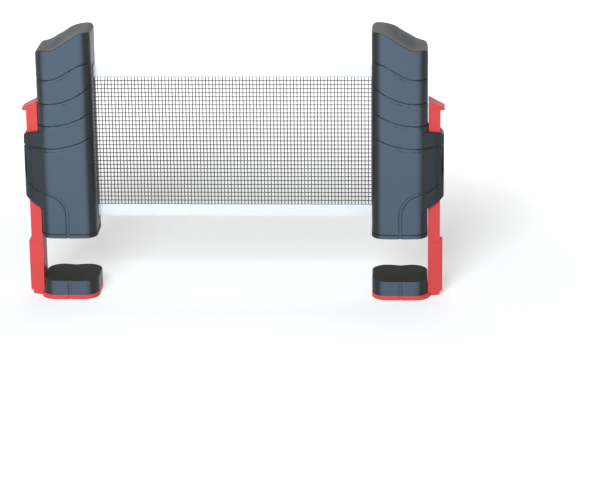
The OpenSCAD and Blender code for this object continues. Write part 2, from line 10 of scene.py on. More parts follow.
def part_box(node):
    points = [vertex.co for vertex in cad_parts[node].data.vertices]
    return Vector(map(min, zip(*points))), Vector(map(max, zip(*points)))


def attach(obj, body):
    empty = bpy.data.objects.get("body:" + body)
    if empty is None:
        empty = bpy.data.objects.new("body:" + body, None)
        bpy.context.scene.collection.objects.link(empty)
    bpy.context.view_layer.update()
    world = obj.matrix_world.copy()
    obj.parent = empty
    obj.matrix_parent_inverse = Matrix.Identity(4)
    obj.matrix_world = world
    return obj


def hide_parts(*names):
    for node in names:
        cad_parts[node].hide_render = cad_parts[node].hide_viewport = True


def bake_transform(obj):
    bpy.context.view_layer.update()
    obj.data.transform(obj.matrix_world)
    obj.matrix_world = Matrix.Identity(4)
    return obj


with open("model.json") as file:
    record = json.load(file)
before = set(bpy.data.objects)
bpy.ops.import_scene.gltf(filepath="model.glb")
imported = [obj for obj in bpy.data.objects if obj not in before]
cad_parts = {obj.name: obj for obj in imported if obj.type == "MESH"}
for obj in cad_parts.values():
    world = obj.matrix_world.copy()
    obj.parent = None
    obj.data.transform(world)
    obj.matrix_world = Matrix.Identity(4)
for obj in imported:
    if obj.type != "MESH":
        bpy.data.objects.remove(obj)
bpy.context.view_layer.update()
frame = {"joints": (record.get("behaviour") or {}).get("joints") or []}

# ------------------------------------------------------------------------------
# Two hollow shells to each post, in slate-grey plastic. Their wave lines are lips, where one band
# of the case overlaps the next. They are drawn as fields of distances, in millimetres out from the
# post's inner face, across the net and up from the ground, with a skin where a field is zero.

mm = 0.001


def corners_of(name):
    """A CAD node's lowest and highest corners, in millimetres."""
    return [np.array(corner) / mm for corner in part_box(name)]


shell_low, shell_high = corners_of("right_rear_shell")
inner_x, shell_z = shell_low[0], shell_low[2]
post_w, post_d = 54.5, 2 * shell_high[1]
corner_r, wall = 13, 2.5
floor_z, crest_z = shell_z + wall, shell_high[2]
shoulder_x, shoulder_z = post_w - 11, crest_z - 17.5
crest_flat, crest_r, shoulder_r, moulded_edge_r = 4.5, 3.5, 5, 0.9
front_crown, rear_rise = 0.5, 4.2


def smooth_step(t, start=0, length=1):
    """A smooth rise from 0 to 1 over a stretch that starts somewhere and has a length."""
    t = np.clip((t - start) / length, 0, 1)
    return t * t * (3 - 2 * t)


def cut_together(a, b, r):
    """What two fields share, with the edge between them rounded."""
    return np.minimum(-r, np.maximum(a, b)) + np.hypot(np.maximum(r + a, 0), np.maximum(r + b, 0))


def shared(*fields):
    """What several fields share, with sharp edges."""
    return reduce(np.maximum, fields)


def rounded(r, *fields):
    """What several fields share, with the edges rounded one after another."""
    return reduce(lambda a, b: cut_together(a, b, r), fields)


def joined(a, b, r):
    """Two fields as one, with the corner between them filled."""
    return np.maximum(r, np.minimum(a, b)) - np.hypot(np.maximum(r - a, 0), np.maximum(r - b, 0))


def upright_block(x, y, low_x, high_x, half_d, r):
    """An upright block with round corners, seen from above."""
    qx = np.abs(x - (low_x + high_x) / 2) - ((high_x - low_x) / 2 - r)
    qy = np.abs(y) - (half_d - r)
    return np.hypot(np.maximum(qx, 0), np.maximum(qy, 0)) + np.minimum(np.maximum(qx, qy), 0) - r


def rod(a, b, at_a, at_b, r):
    return np.hypot(a - at_a, b - at_b) - r


def slab(a, low, high):
    return np.abs(a - (low + high) / 2) - (high - low) / 2


def wavy_top(x, y):
    """The height of the wave, which is fuller towards the rear half way down its slope."""
    t = np.clip((x - crest_flat) / (shoulder_x - crest_flat), 0, 1)
    fullness = smooth_step(x, 8, 18) * (1 - smooth_step(x, 34, 15)) * smooth_step(y, -22, 46)
    return crest_z - (crest_z - shoulder_z) * (1 - np.cos(math.pi * t)) / 2 + rear_rise * fullness


def post_outline(x, y, inset):
    """The post seen from above, a little crowned in front and behind, and drawn in by a distance."""
    crown = front_crown * ((x - post_w / 2) / (post_w / 2)) ** 2
    return upright_block(x, np.abs(y) + crown, 0, post_w, post_d / 2, corner_r) + inset


def post_form(x, y, z, inset, edge_r):
    """The post's block under its wavy top."""
    steepness = wavy_top(x + 0.5, y) - wavy_top(x - 0.5, y)
    top = (z - wavy_top(x, y)) / np.sqrt(1 + steepness ** 2)
    top = cut_together(top, -x, crest_r)
    top = cut_together(top, x - post_w, shoulder_r)
    return cut_together(post_outline(x, y, inset), top + inset, edge_r)


# The lips and grooves. The lowest lip runs on as a groove: over the ear, back to the front and down.
lip_falls, lip_rises = (28, 51.5, 73.5, 96), (16.2, 18.4, 14.6, 12.6)
lip_depth, lip_slot, band_h, band_swell, band_slant, crease_depth = 1.5, 1.6, 1.6, 2.3, 0.27, 0.45
first_flat, upright_groove_x = 2, 28
ear_out_x = shell_high[0] - inner_x
bend_out_x, bend_top_r, bend_out_r = ear_out_x - 1.5, 13, 19
bend_in_r = bend_out_x - bend_out_r - upright_groove_x
bend_z, bend_start_z = shell_z + 40.5, shoulder_z - lip_falls[3] - 1 - bend_top_r
ear_groove_half, front_groove_half = 1.05, 1.75
groove_depth, groove_crown, groove_edge = 1.1, 0.45, 0.55


def lip_line(i, x):
    """Height of a lip over a point of the post."""
    if i == 0:
        t = np.clip((x - first_flat) / (shoulder_x - first_flat), 0, 1)
        wave = (1 + np.cos(math.pi * t)) / 2
    else:
        wave = np.clip((shoulder_x - x) / shoulder_x, 0, 1) ** 2
    return shoulder_z - lip_falls[i] + lip_rises[i] * wave


def lip_cut(i, x, z):
    """Depth of the surface under a lip: a slot, then a slanted band back out, then a soft crease."""
    below = lip_line(i, x) - z
    band = band_h + band_swell * smooth_step(x, 4, 14) * smooth_step(post_w + 6 - x, 0, 14)
    deep = lip_depth * smooth_step(x, 0.5, 5)
    slot = deep * np.clip(below / 0.2, 0, 1) * np.clip((lip_slot - below) / 0.55, 0, 1)
    slant = band_slant * np.clip(below / 0.15, 0, 1) * np.clip(band - below, 0, band - lip_slot)
    crease = crease_depth * smooth_step(x, 4, 10) * np.clip(1 - np.abs(below - band) / 0.9, 0, 1)
    return shared(slot, slant, crease)


def arc_distance(x, z, at_x, at_z, r):
    return np.abs(np.hypot(x - at_x, z - at_z) - r)


def groove(far, half, edge, crowned=1):
    """Depth of a groove at a distance from its middle line. Its flat floor may be crowned."""
    crown = groove_crown * (1 - np.clip(far / half, 0, 1) ** 2) * crowned
    return (groove_depth - crown) * np.clip((half - far) / edge, 0, 1)


def groove_cut(x, z):
    """Depth of the S-shaped groove, which is wider on the front than on the ear."""
    far = np.full(np.broadcast(x, z).shape, 99.0)
    top_x, low_x = bend_out_x - bend_top_r, bend_out_x - bend_out_r
    on_top_turn = (x > top_x) & (z > bend_start_z)
    far = np.where(on_top_turn, arc_distance(x, z, top_x, bend_start_z, bend_top_r), far)
    on_edge = (z <= bend_start_z) & (z > bend_z + bend_out_r)
    far = np.where(on_edge, np.abs(x - bend_out_x), far)
    on_low_turn = (x > low_x) & (z <= bend_z + bend_out_r)
    far = np.where(on_low_turn, arc_distance(x, z, low_x, bend_z + bend_out_r, bend_out_r), far)
    on_front_turn = (x <= low_x) & (z > bend_z - bend_in_r) & (z < bend_z + 3)
    turn = arc_distance(x, z, upright_groove_x + bend_in_r, bend_z - bend_in_r, bend_in_r)
    far = np.where(on_front_turn, turn, far)
    far = np.where(z <= bend_z - bend_in_r, np.abs(x - upright_groove_x), far)
    on_front = smooth_step(post_w - 2 - x, 0, 8)
    half = ear_groove_half + (front_groove_half - ear_groove_half) * on_front
    return groove(far, half, groove_edge, on_front)


def moulded_cuts(x, z):
    return shared(groove_cut(x, z), *[lip_cut(i, x, z) for i in range(4)])


# The ear on the post's outer side, which the slider's arm runs in
ear_angle = math.radians(33)
ear_x = post_w - corner_r + corner_r * math.sin(ear_angle)
ear_top_z, ear_foot_z = shell_z + 102, shell_z + 25
ear_top_fall, ear_foot_slope, ear_corner = 3.5, 6, 3
ear_nose_cut, ear_sink, ear_edge_r = 2, 0.3, 0.8
ear_half = post_d / 2 - corner_r * (1 - math.cos(ear_angle)) - ear_sink
slide_play = 0.4
arm_x, arm_t, arm_d, arm_nose_d = post_w + slide_play, 11.5, 27, 18
arm_taper = (arm_d - arm_nose_d) / 2 / arm_t


def ear_form(x, y, z):
    half = ear_half - (x - ear_x) * math.tan(ear_angle)
    nose_half = ear_half - ((ear_out_x - ear_x) * math.tan(ear_angle) + ear_nose_cut)
    faces = (np.abs(y) - half) * math.cos(ear_angle)
    nose = (np.abs(y) - nose_half - (ear_out_x - x)) / math.sqrt(2)
    top_fall = ear_top_fall / (ear_out_x - ear_corner - ear_x)
    top = z - ear_top_z + top_fall * (x - ear_x)
    foot_rise = ear_foot_slope / (ear_out_x - ear_corner - post_w)
    foot = ear_foot_z + foot_rise * (x - post_w) - z
    top_corner = (z + x - (ear_top_z - ear_top_fall) - (ear_out_x - ear_corner)) / math.sqrt(2)
    foot_corner = (x - z - (ear_out_x - ear_corner) + ear_foot_z + ear_foot_slope) / math.sqrt(2)
    form = rounded(ear_edge_r, faces, x - ear_out_x, nose, top, foot, top_corner, foot_corner)
    return np.maximum(form, ear_x - x)


def arm_channel(x, y, z):
    """The way through the ear that the slider's arm runs in."""
    half = arm_d / 2 - arm_taper * (x - arm_x) + slide_play
    across = slab(x, arm_x - slide_play, arm_x + arm_t + slide_play)
    return shared(np.abs(y) - half, across, ear_foot_z - 2 * ear_corner - z)


# What the shells hold inside: bosses, the roller's seats and the clamp spring's peg
boss_r, boss_gap, sunk = 4, 4, 0.5
screw_r, screw_play, running_play = 1.45, 0.2, 0.05
head_r, head_h, case_screw_l = 2.9, 1.8, 34
boss_in_x = wall + boss_gap + boss_r
boss_out_x = post_w - wall - boss_gap - boss_r
case_bosses = (
    (boss_in_x, crest_z - wall - boss_gap - 2 * boss_r),
    (boss_out_x, shoulder_z - wall - boss_gap - boss_r),
    (boss_in_x, floor_z - sunk + boss_r),
    (boss_out_x, floor_z - sunk + boss_r + 8),
)
inner_y = post_d / 2 - wall
head_y = inner_y - head_h
base_boss_x, base_boss_y = post_w / 2, inner_y - boss_r - boss_gap
foot_boss_h, hole_room, fillet_r, way_edge_r = 6.5, 1, 0.4, 0.2
tube_low, tube_high = corners_of("right_roller_tube")
tube_r = (tube_high[0] - tube_low[0]) / 2
roller_x = (tube_low[0] + tube_high[0]) / 2 - inner_x
tube_z, tube_top_z = tube_low[2], tube_high[2]
pin_r, pin_top_z = 2, corners_of("right_roller_top_plug")[1][2]
spindle_key, key_play = 3.4, 0.1
saddle_half, saddle_z = 6, floor_z + 3.2
bulkhead_t, bulkhead_reach = 3, 12
bulkhead_z = pin_top_z - 1 - bulkhead_t
spring_low, spring_high = corners_of("right_clamp_spring")
clamp_spring_r = (spring_high[0] - spring_low[0]) / 2
spring_x = spring_low[0] - inner_x + clamp_spring_r
anchor_z, anchor_t = spring_high[2], 4
lug_w, lug_h = 7, 7
lug_z = spring_low[2] - lug_h / 2
slot_low_z, slot_top_z = lug_z - lug_h / 2 - 21, lug_z + lug_h / 2 + 43.5
mouth_high = corners_of("right_net_mouth")[1]
mouth_half, mouth_play = 4, 0.1


def case_form(x, y, z):
    """The closed case: its outside with the lips, its hollow and its openings."""
    outside = joined(post_form(x, y, z, 0, moulded_edge_r), ear_form(x, y, z), fillet_r)
    room = np.where(x > post_w + 0.5, np.maximum(arm_channel(x, y, z) - 0.6, 0.25), 9)
    outside = outside + np.minimum(moulded_cuts(x, z), room)
    outside = cut_together(outside, shell_z - z, 0.5)
    hollow = np.maximum(post_form(x, y, z, wall, 1.5), floor_z - z)
    form = np.maximum(outside, -hollow)
    inner_form = post_form(x, y, z, wall - sunk, 1)
    saddle = slab(x, roller_x - saddle_half, roller_x + saddle_half)
    saddle = shared(saddle, np.abs(y) - saddle_half, slab(z, floor_z - sunk, saddle_z))
    bulkhead = shared(inner_form, slab(z, bulkhead_z, bulkhead_z + bulkhead_t), x - roller_x - bulkhead_reach)
    form = joined(form, np.minimum(saddle, bulkhead), fillet_r)
    key_half = spindle_key / 2 + key_play
    key_way = slab(x, roller_x - key_half, roller_x + key_half)
    key_way = shared(key_way, np.abs(y) - key_half, floor_z - z, z - saddle_z - 1)
    pin_way = np.maximum(rod(x, y, roller_x, 0, pin_r + running_play), slab(z, bulkhead_z - 1, pin_top_z + 1))
    lug_z_way, lug_x_way = slab(z, slot_low_z, slot_top_z), slab(x, post_w - wall - 1, post_w + 1)
    lug_way = shared(lug_z_way, np.abs(y) - lug_w / 2 - slide_play, lug_x_way)
    mouth_z_way = slab(z, tube_z - mouth_play, tube_top_z + mouth_play)
    mouth_way = shared(mouth_z_way, np.abs(y) - mouth_half - mouth_play, x - wall - 1)
    return rounded(way_edge_r, form, -key_way, -pin_way, -lug_way, -mouth_way, -arm_channel(x, y, z))


def at_bosses(x, z, r):
    """A rod on each of the case screws' axes."""
    return np.minimum.reduce([rod(x, z, *boss, r) for boss in case_bosses])


def shell_form(x, y, z, back):
    """One of the two shells: back is 1 for the rear one and -1 for the front one."""
    deep = back * y
    form = cut_together(case_form(x, y, z), -deep, 0.22)
    bosses = np.maximum(at_bosses(x, z, boss_r), slab(deep, 0, inner_y + sunk))
    foot_boss = rod(x, y, base_boss_x, back * base_boss_y, boss_r)
    foot_boss = np.maximum(foot_boss, slab(z, floor_z - sunk, floor_z + foot_boss_h))
    form = joined(form, np.minimum(bosses, foot_boss), fillet_r)
    holes = at_bosses(x, z, screw_r + screw_play)
    if back > 0:
        heads = np.maximum(at_bosses(x, z, head_r + screw_play), head_y - deep)
        holes = np.minimum(np.maximum(holes, deep - head_y - hole_room), heads)
    else:
        holes = np.maximum(holes, deep - (case_screw_l - head_y) - hole_room)
        peg = shared(np.abs(x - spring_x) - clamp_spring_r, slab(z, anchor_z, anchor_z + anchor_t), y)
        peg = np.maximum(peg, post_form(x, y, z, wall - sunk, 1))
        form = joined(form, peg, fillet_r)
    foot_hole = rod(x, y, base_boss_x, back * base_boss_y, screw_r + running_play)
    foot_hole = np.maximum(foot_hole, z - floor_z - (foot_boss_h + hole_room))
    return cut_together(form, -np.minimum(holes, foot_hole), way_edge_r)


def slope(field, points):
    """The outward directions of a field at some points."""
    n = np.stack([field(*(points + step).T) - field(*(points - step).T) for step in np.eye(3) * 0.02], 1)
    return n / np.maximum(np.linalg.norm(n, axis=1, keepdims=True), 1e-9)


def skin(field, low, high, cell, fine=((), (), ())):
    """Points and four-sided faces of the surface where a field passes through zero. Each cell of a
    grid that the surface crosses gets one point, at the place that best suits the surface's slopes
    where it crosses the cell's sides, so that edges stay crisp. The stretches in fine have cells of
    their own width, each given by where it starts, where it ends and how wide its cells are."""
    stay_put = 0.03
    steps = []
    for axis in range(3):
        marks = [low[axis]]
        while marks[-1] < high[axis]:
            widths = [width for start, end, width in fine[axis] if start <= marks[-1] < end]
            marks.append(marks[-1] + min([cell[axis]] + widths))
        steps.append(np.array(marks))
    wide = [np.append(np.diff(s), 1) for s in steps]
    grid = [steps[0][:, None, None], steps[1][None, :, None], steps[2][None, None, :]]
    value = np.broadcast_to(field(*grid), [len(s) for s in steps])
    inside = value < 0
    size = np.array(inside.shape)
    crossed_at, slopes, rings = [], [], []
    for axis in range(3):
        near = inside.take(range(size[axis] - 1), axis)
        beyond = inside.take(range(1, size[axis]), axis)
        spots = np.stack(np.nonzero(near != beyond), 1)
        ahead = np.zeros(3, int)
        ahead[axis] = 1
        start = np.stack([steps[k][spots[:, k]] for k in range(3)], 1)
        reach = wide[axis][spots[:, axis]]
        v_low, v_high = value[tuple(spots.T)].copy(), value[tuple((spots + ahead).T)].copy()
        t_low, t_high = np.zeros(len(spots)), np.ones(len(spots))
        for _ in range(4):
            t = t_low + (t_high - t_low) * np.clip(v_low / (v_low - v_high), 0.02, 0.98)
            v = field(*(start + (t * reach)[:, None] * ahead).T)
            same = (v < 0) == (v_low < 0)
            t_low, v_low = np.where(same, t, t_low), np.where(same, v, v_low)
            t_high, v_high = np.where(same, t_high, t), np.where(same, v_high, v)
        at = start + ((t_low + t_high) / 2 * reach)[:, None] * ahead
        side_a, side_b = np.zeros(3, int), np.zeros(3, int)
        side_a[(axis + 1) % 3], side_b[(axis + 2) % 3] = 1, 1
        ring = np.stack([spots - side_a - side_b, spots - side_b, spots, spots - side_a], 1)
        outward = near[tuple(spots.T)]
        ring[~outward] = ring[~outward][:, ::-1]
        crossed_at.append(at)
        slopes.append(slope(field, at))
        rings.append((ring * [size[1] * size[2], size[2], 1]).sum(2))
    at, n, ring = np.concatenate(crossed_at), np.concatenate(slopes), np.concatenate(rings)
    cells, owner = np.unique(ring, return_inverse=True)
    owner = owner.reshape(ring.shape)
    at4, n4, owner4 = np.repeat(at, 4, 0), np.repeat(n, 4, 0), owner.ravel()
    count = np.bincount(owner4)
    middle = np.stack([np.bincount(owner4, at4[:, k]) for k in range(3)], 1) / count[:, None]
    gap = ((at4 - middle[owner4]) * n4).sum(1)
    pull = np.stack([np.bincount(owner4, n4[:, k] * gap) for k in range(3)], 1)
    grip = np.empty((len(cells), 3, 3))
    for a in range(3):
        for b in range(3):
            grip[:, a, b] = np.bincount(owner4, n4[:, a] * n4[:, b])
    grip += stay_put * count[:, None, None] * np.eye(3)
    move = np.linalg.solve(grip, pull[:, :, None])[:, :, 0]
    places = np.unravel_index(cells, size)
    corner = np.stack([s[place] for s, place in zip(steps, places)], 1)
    points = np.clip(middle + move, corner, corner + np.stack([w[place] for w, place in zip(wide, places)], 1))
    return points, owner


def piece_from(name, points, faces, material, sharp=35):
    """A mesh object from points in metres."""
    mesh = bpy.data.meshes.new(name)
    mesh.from_pydata(np.asarray(points).tolist(), [], faces.tolist() if hasattr(faces, "tolist") else faces)
    mesh.shade_smooth()
    mesh.set_sharp_from_angle(angle=math.radians(sharp))
    mesh.materials.append(material)
    piece = bpy.data.objects.new(name, mesh)
    bpy.context.scene.collection.objects.link(piece)
    return piece


SIDES = (("left", -1), ("right", 1))


def on_post(points, side):
    """Points given from a post's inner face, in millimetres, put in place at one end of the net."""
    return (np.asarray(points) + [inner_x, 0, 0]) * [side * mm, mm, mm]


def on_both_posts(name, points, faces, material, body, sharp=35):
    """The same piece on the left and on the right post, as mirror images."""
    made = []
    for word, side in SIDES:
        outward = faces if side > 0 else [list(face)[::-1] for face in faces]
        piece = piece_from(f"{word}_{name}_moulded", on_post(points, side), outward, material, sharp)
        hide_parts(f"{word}_{name}")
        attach(piece, f"{word}_{body}")
        made.append(piece)
    return made


def field_piece(name, form, low, high, cell, material, body, fine=((), (), ())):
    """A piece on both posts, whose surface is the skin of a field."""
    on_both_posts(name, *skin(form, low, high, cell, fine), material, body)


def node(tree, kind, sockets=(), **settings):
    """A node of a tree. The sockets are given values, or outputs to take them from."""
    made = tree.nodes.new(kind)
    for name, value in settings.items():
        setattr(made, name, value)
    for name, value in dict(sockets).items():
        if isinstance(value, bpy.types.NodeSocket):
            tree.links.new(value, made.inputs[name])
        else:
            made.inputs[name].default_value = value
    return made


def result(tree, kind, sockets, **settings):
    """The first output of a new node."""
    return node(tree, kind, sockets, **settings).outputs[0]


def sum_of(tree, operation, *values):
    """The outcome of a sum on numbers."""
    return result(tree, "ShaderNodeMath", dict(enumerate(values)), operation=operation)


def group_of(kind, name, inputs, outputs):
    """An empty node group. An input is named with its kind of socket, or with the number it starts from."""
    tree = bpy.data.node_groups.new(name, kind)
    for label, given in inputs.items():
        socket_kind = given if isinstance(given, str) else "Float"
        socket = tree.interface.new_socket(label, in_out="INPUT", socket_type=f"NodeSocket{socket_kind}")
        if socket_kind != given:
            socket.default_value = given
    for label, socket_kind in outputs.items():
        tree.interface.new_socket(label, in_out="OUTPUT", socket_type=f"NodeSocket{socket_kind}")
    return tree, tree.nodes.new("NodeGroupInput").outputs, tree.nodes.new("NodeGroupOutput").inputs


def finish_of(name, inputs):
    """An empty finish: the group of nodes that a material takes its colour, roughness and relief from."""
    return group_of(
        "ShaderNodeTree", name, {"Place": "Vector", "Color": "Color", **inputs},
        {"Color": "Color", "Roughness": "Float", "Height": "Float"},
    )


def noise(tree, place, scale, detail):
    return result(tree, "ShaderNodeTexNoise", {"Vector": place, "Scale": scale, "Detail": detail})


def drifting(tree, noise_share, amount, middle):
    """A number that drifts about its middle as a noise does."""
    return sum_of(tree, "MULTIPLY_ADD", sum_of(tree, "SUBTRACT", noise_share, 0.5), amount, middle)


def finished(tree, out, color, tone, roughness, height):
    """A finish with its outputs given. Its colour is scaled by a tone."""
    toned = result(tree, "ShaderNodeVectorMath", {0: color, "Scale": tone}, operation="SCALE")
    for label, output in (("Color", toned), ("Roughness", roughness), ("Height", height)):
        tree.links.new(output, out[label])
    return tree


def linear(*srgb):
    """A colour given as it looks, 0 to 255, in the form that the shaders take."""
    shares = [c / 255 for c in srgb]
    return (*[c / 12.92 if c <= 0.04045 else ((c + 0.055) / 1.055) ** 2.4 for c in shares], 1)


# The finish that the mould leaves: a fine grain, a slow drift in tone, and places where hands have
# polished the grain. On top of that, colour is painted by the way a face turns. Faces turned to the
# front and the rear take a paler slate, a painted reflection, and faces turned away take a darker
# colour, painted shade.
tree, given, out = finish_of(
    "moulded_grain_painted_sheen_and_shade",
    {"Facing": "Vector", "Polished Color": "Color", "Tone": 0.05, "Grain": 2600, "Roughness": 0.35, "Polish": 0.06},
)
grain = noise(tree, given["Place"], given["Grain"], 2)
drift = noise(tree, given["Place"], 22, 3)
touched = noise(tree, given["Place"], 60, 5)
facing_y = node(tree, "ShaderNodeSeparateXYZ", {0: given["Facing"]}).outputs["Y"]
# Painted by facing: 1 on faces turned to the front or rear, which get the plain colour as a painted reflection, and 0
# where the form turns away, which get the darker colour as painted shade.
flat = result(
    tree, "ShaderNodeMapRange", {"Value": sum_of(tree, "ABSOLUTE", facing_y), "From Min": 0.8, "From Max": 0.99},
    interpolation_type="SMOOTHSTEP",
)
painted_sheen_and_shade = node(tree, "ShaderNodeMix", {0: flat, 6: given["Polished Color"], 7: given["Color"]}, data_type="RGBA")
moulded_grain_painted_sheen_and_shade = finished(
    tree, out, painted_sheen_and_shade.outputs[2], drifting(tree, drift, given["Tone"], 1),
    drifting(tree, touched, given["Polish"], given["Roughness"]), grain,
)


def material_of(name, finish, values, bump, bump_depth, **shader_values):
    """A material whose colour, roughness and relief come from one of the finishes."""
    made = bpy.data.materials.new(name)
    made.use_nodes = True
    tree = made.node_tree
    shader = tree.nodes["Principled BSDF"]
    coordinates = node(tree, "ShaderNodeTexCoord").outputs
    surface = node(tree, "ShaderNodeGroup", node_tree=finish)
    tree.links.new(coordinates["Object"], surface.inputs["Place"])
    # Where the finish paints by facing, the painted shade colour for faces turned away is the plain colour unless a
    # material gives its own.
    if "Facing" in surface.inputs:
        tree.links.new(coordinates["Normal"], surface.inputs["Facing"])
        values = {"Polished Color": values["Color"], **values}
    for label, value in values.items():
        surface.inputs[label].default_value = value
    height = surface.outputs["Height"]
    relief = result(tree, "ShaderNodeBump", {"Height": height, "Strength": bump, "Distance": bump_depth})
    tree.links.new(surface.outputs["Color"], shader.inputs["Base Color"])
    tree.links.new(surface.outputs["Roughness"], shader.inputs["Roughness"])
    tree.links.new(relief, shader.inputs["Normal"])
    for label, value in shader_values.items():
        shader.inputs[label.replace("_", " ")].default_value = value
    return made


# The case: its slate on faces turned to the front and rear is a painted reflection, and its darker grey where the form
# turns away (corners, ears, tops) is painted shade.
case_plastic = material_of(
    "case_plastic", moulded_grain_painted_sheen_and_shade,
    {"Color": linear(80, 93, 107), "Polished Color": linear(49, 52, 54), "Roughness": 0.34, "Tone": 0.06,
     "Polish": 0.04}, 0.12, 0.0001, Specular_IOR_Level=0.1,
)
shell_cell = (1.3, 1.15, 1.35)
groove_cells = (
    [(0, 14, 0.6), (14, 24, 1.1), (24, 32, 0.5), (32, 46, 0.95), (46, 66, 0.75), (66, 72, 0.5)],
    [(-27.5, -24.5, 0.5), (-20.5, -8, 0.65), (8, 20.5, 0.65), (24.5, 27.5, 0.5)],
    [(bend_z - bend_in_r - 1, bend_start_z + 15, 0.8), (shoulder_z - 1, crest_z + 1, 0.8)]
    + [(lip_line(i, shoulder_x) - 3, lip_line(i, 0) + 1, 0.56) for i in range(4)],
)
for back, name in ((-1, "front_shell"), (1, "rear_shell")):
    field_piece(
        name, lambda x, y, z: shell_form(x, y, z, back), [-1.3, -27.3 if back < 0 else -1.25, shell_z - 1.4],
        [ear_out_x + 2, 1.9 if back < 0 else 27.9, crest_z + 1.5], shell_cell, case_plastic, "post", groove_cells,
    )

# ------------------------------------------------------------------------------
# The roller that the net winds on: an aluminium tube on an acetal bush and plug, which turn on a
# steel spindle keyed in the case. A torsion spring inside the tube winds the net in.

tree, given, out = finish_of("brushed_metal", {"Lines": "Vector", "Tone": 0.1, "Roughness": 0.32, "Polish": 0.15})
drawn_out = result(tree, "ShaderNodeVectorMath", {0: given["Place"], 1: given["Lines"]}, operation="MULTIPLY")
lines = noise(tree, drawn_out, 1, 3)
stain = noise(tree, given["Place"], 120, 4)
brushed_metal = finished(
    tree, out, given["Color"], drifting(tree, stain, given["Tone"], 1),
    drifting(tree, lines, given["Polish"], given["Roughness"]), lines,
)
tube_aluminium = material_of(
    "tube_aluminium", brushed_metal, {"Color": linear(205, 207, 211), "Lines": (5000, 5000, 60)}, 0.1, 0.00005,
    Metallic=1,
)
white_plastic = material_of(
    "white_plastic", moulded_grain_painted_sheen_and_shade, {"Color": linear(230, 228, 222), "Roughness": 0.4, "Tone": 0.03}, 0.1, 0.0001,
)
screw_steel = material_of(
    "screw_steel", brushed_metal, {"Color": linear(186, 188, 190), "Lines": (3000, 3000, 3000)}, 0.08, 0.00005,
    Metallic=1,
)
spring_steel = material_of(
    "spring_steel", brushed_metal, {"Color": linear(158, 160, 163), "Lines": (900, 900, 900), "Roughness": 0.3},
    0.1, 0.00005, Metallic=1,
)


def turned(profile, steps=48):
    """A solid turned about the roller's axis, from a closed outline of radius and height."""
    turns = np.arange(steps) * 2 * math.pi / steps
    points = [[roller_x + r * math.cos(a), r * math.sin(a), z] for a in turns for r, z in profile]
    count = len(profile)
    faces = []
    for i in range(steps):
        for k in range(count):
            here, above = i * count + k, i * count + (k + 1) % count
            beside, beyond = (here + count) % (steps * count), (above + count) % (steps * count)
            if profile[k][0] or profile[(k + 1) % count][0]:
                faces.append([here, beside, beyond, above])
    return points, faces


def merged(points, faces):
    """The same mesh with points at one place made one, and faces that have lost a side mended."""
    places, same = np.unique(np.round(np.array(points, float), 4), axis=0, return_inverse=True)
    same = same.reshape(-1)
    kept = []
    for face in faces:
        ring = []
        for i in (same[k] for k in face):
            if not ring or (ring[-1] != i and ring[0] != i):
                ring.append(int(i))
        if len(ring) > 2:
            kept.append(ring)
    return places, kept


flange_t, chamfer, bush_l, spindle_r = 2.5, 0.3, 12, 2.5
bush_z, plug_z, plug_top_z = tube_z - flange_t, tube_top_z - bush_l, tube_top_z + flange_t
tube_bore_r, bore_r = tube_r - 1, spindle_r + running_play
fit_r = tube_bore_r - running_play
tube_profile = (
    (tube_bore_r, tube_z + chamfer), (tube_bore_r + chamfer, tube_z), (tube_r - chamfer, tube_z),
    (tube_r, tube_z + chamfer), (tube_r, tube_top_z - chamfer), (tube_r - chamfer, tube_top_z),
    (tube_bore_r + chamfer, tube_top_z), (tube_bore_r, tube_top_z - chamfer),
)
bush_profile = (
    (bore_r, bush_z + chamfer), (bore_r + chamfer, bush_z), (tube_r - chamfer, bush_z), (tube_r, bush_z + chamfer),
    (tube_r, tube_z), (fit_r, tube_z), (fit_r, tube_z + bush_l - chamfer), (fit_r - chamfer, tube_z + bush_l),
    (bore_r, tube_z + bush_l),
)
plug_profile = (
    (0, plug_z), (fit_r - chamfer, plug_z), (fit_r, plug_z + chamfer), (fit_r, tube_top_z), (tube_r, tube_top_z),
    (tube_r, plug_top_z - chamfer), (tube_r - chamfer, plug_top_z), (pin_r + 1, plug_top_z),
    (pin_r, plug_top_z + 0.6), (pin_r, pin_top_z - chamfer), (pin_r - chamfer, pin_top_z), (0, pin_top_z),
)
for name, profile, material in (
    ("roller_tube", tube_profile, tube_aluminium), ("roller_bottom_bush", bush_profile, white_plastic),
    ("roller_top_plug", plug_profile, white_plastic),
):
    on_both_posts(name, *merged(*turned(profile)), material, "roller")

spindle_top_z = corners_of("right_roller_spindle")[1][2]


def spindle_form(x, y, z):
    rounds = cut_together(rod(x, y, roller_x, 0, spindle_r), slab(z, saddle_z, spindle_top_z), chamfer)
    across = np.maximum(np.abs(x - roller_x), np.abs(y)) - spindle_key / 2
    return np.minimum(rounds, np.maximum(across, slab(z, floor_z, saddle_z + 0.2)))


field_piece(
    "roller_spindle", spindle_form, [roller_x - 3.1, -3.1, floor_z - 0.9], [roller_x + 3.2, 3.2, spindle_top_z + 0.9],
    [0.31, 0.31, 0.8], screw_steel, "post",
)


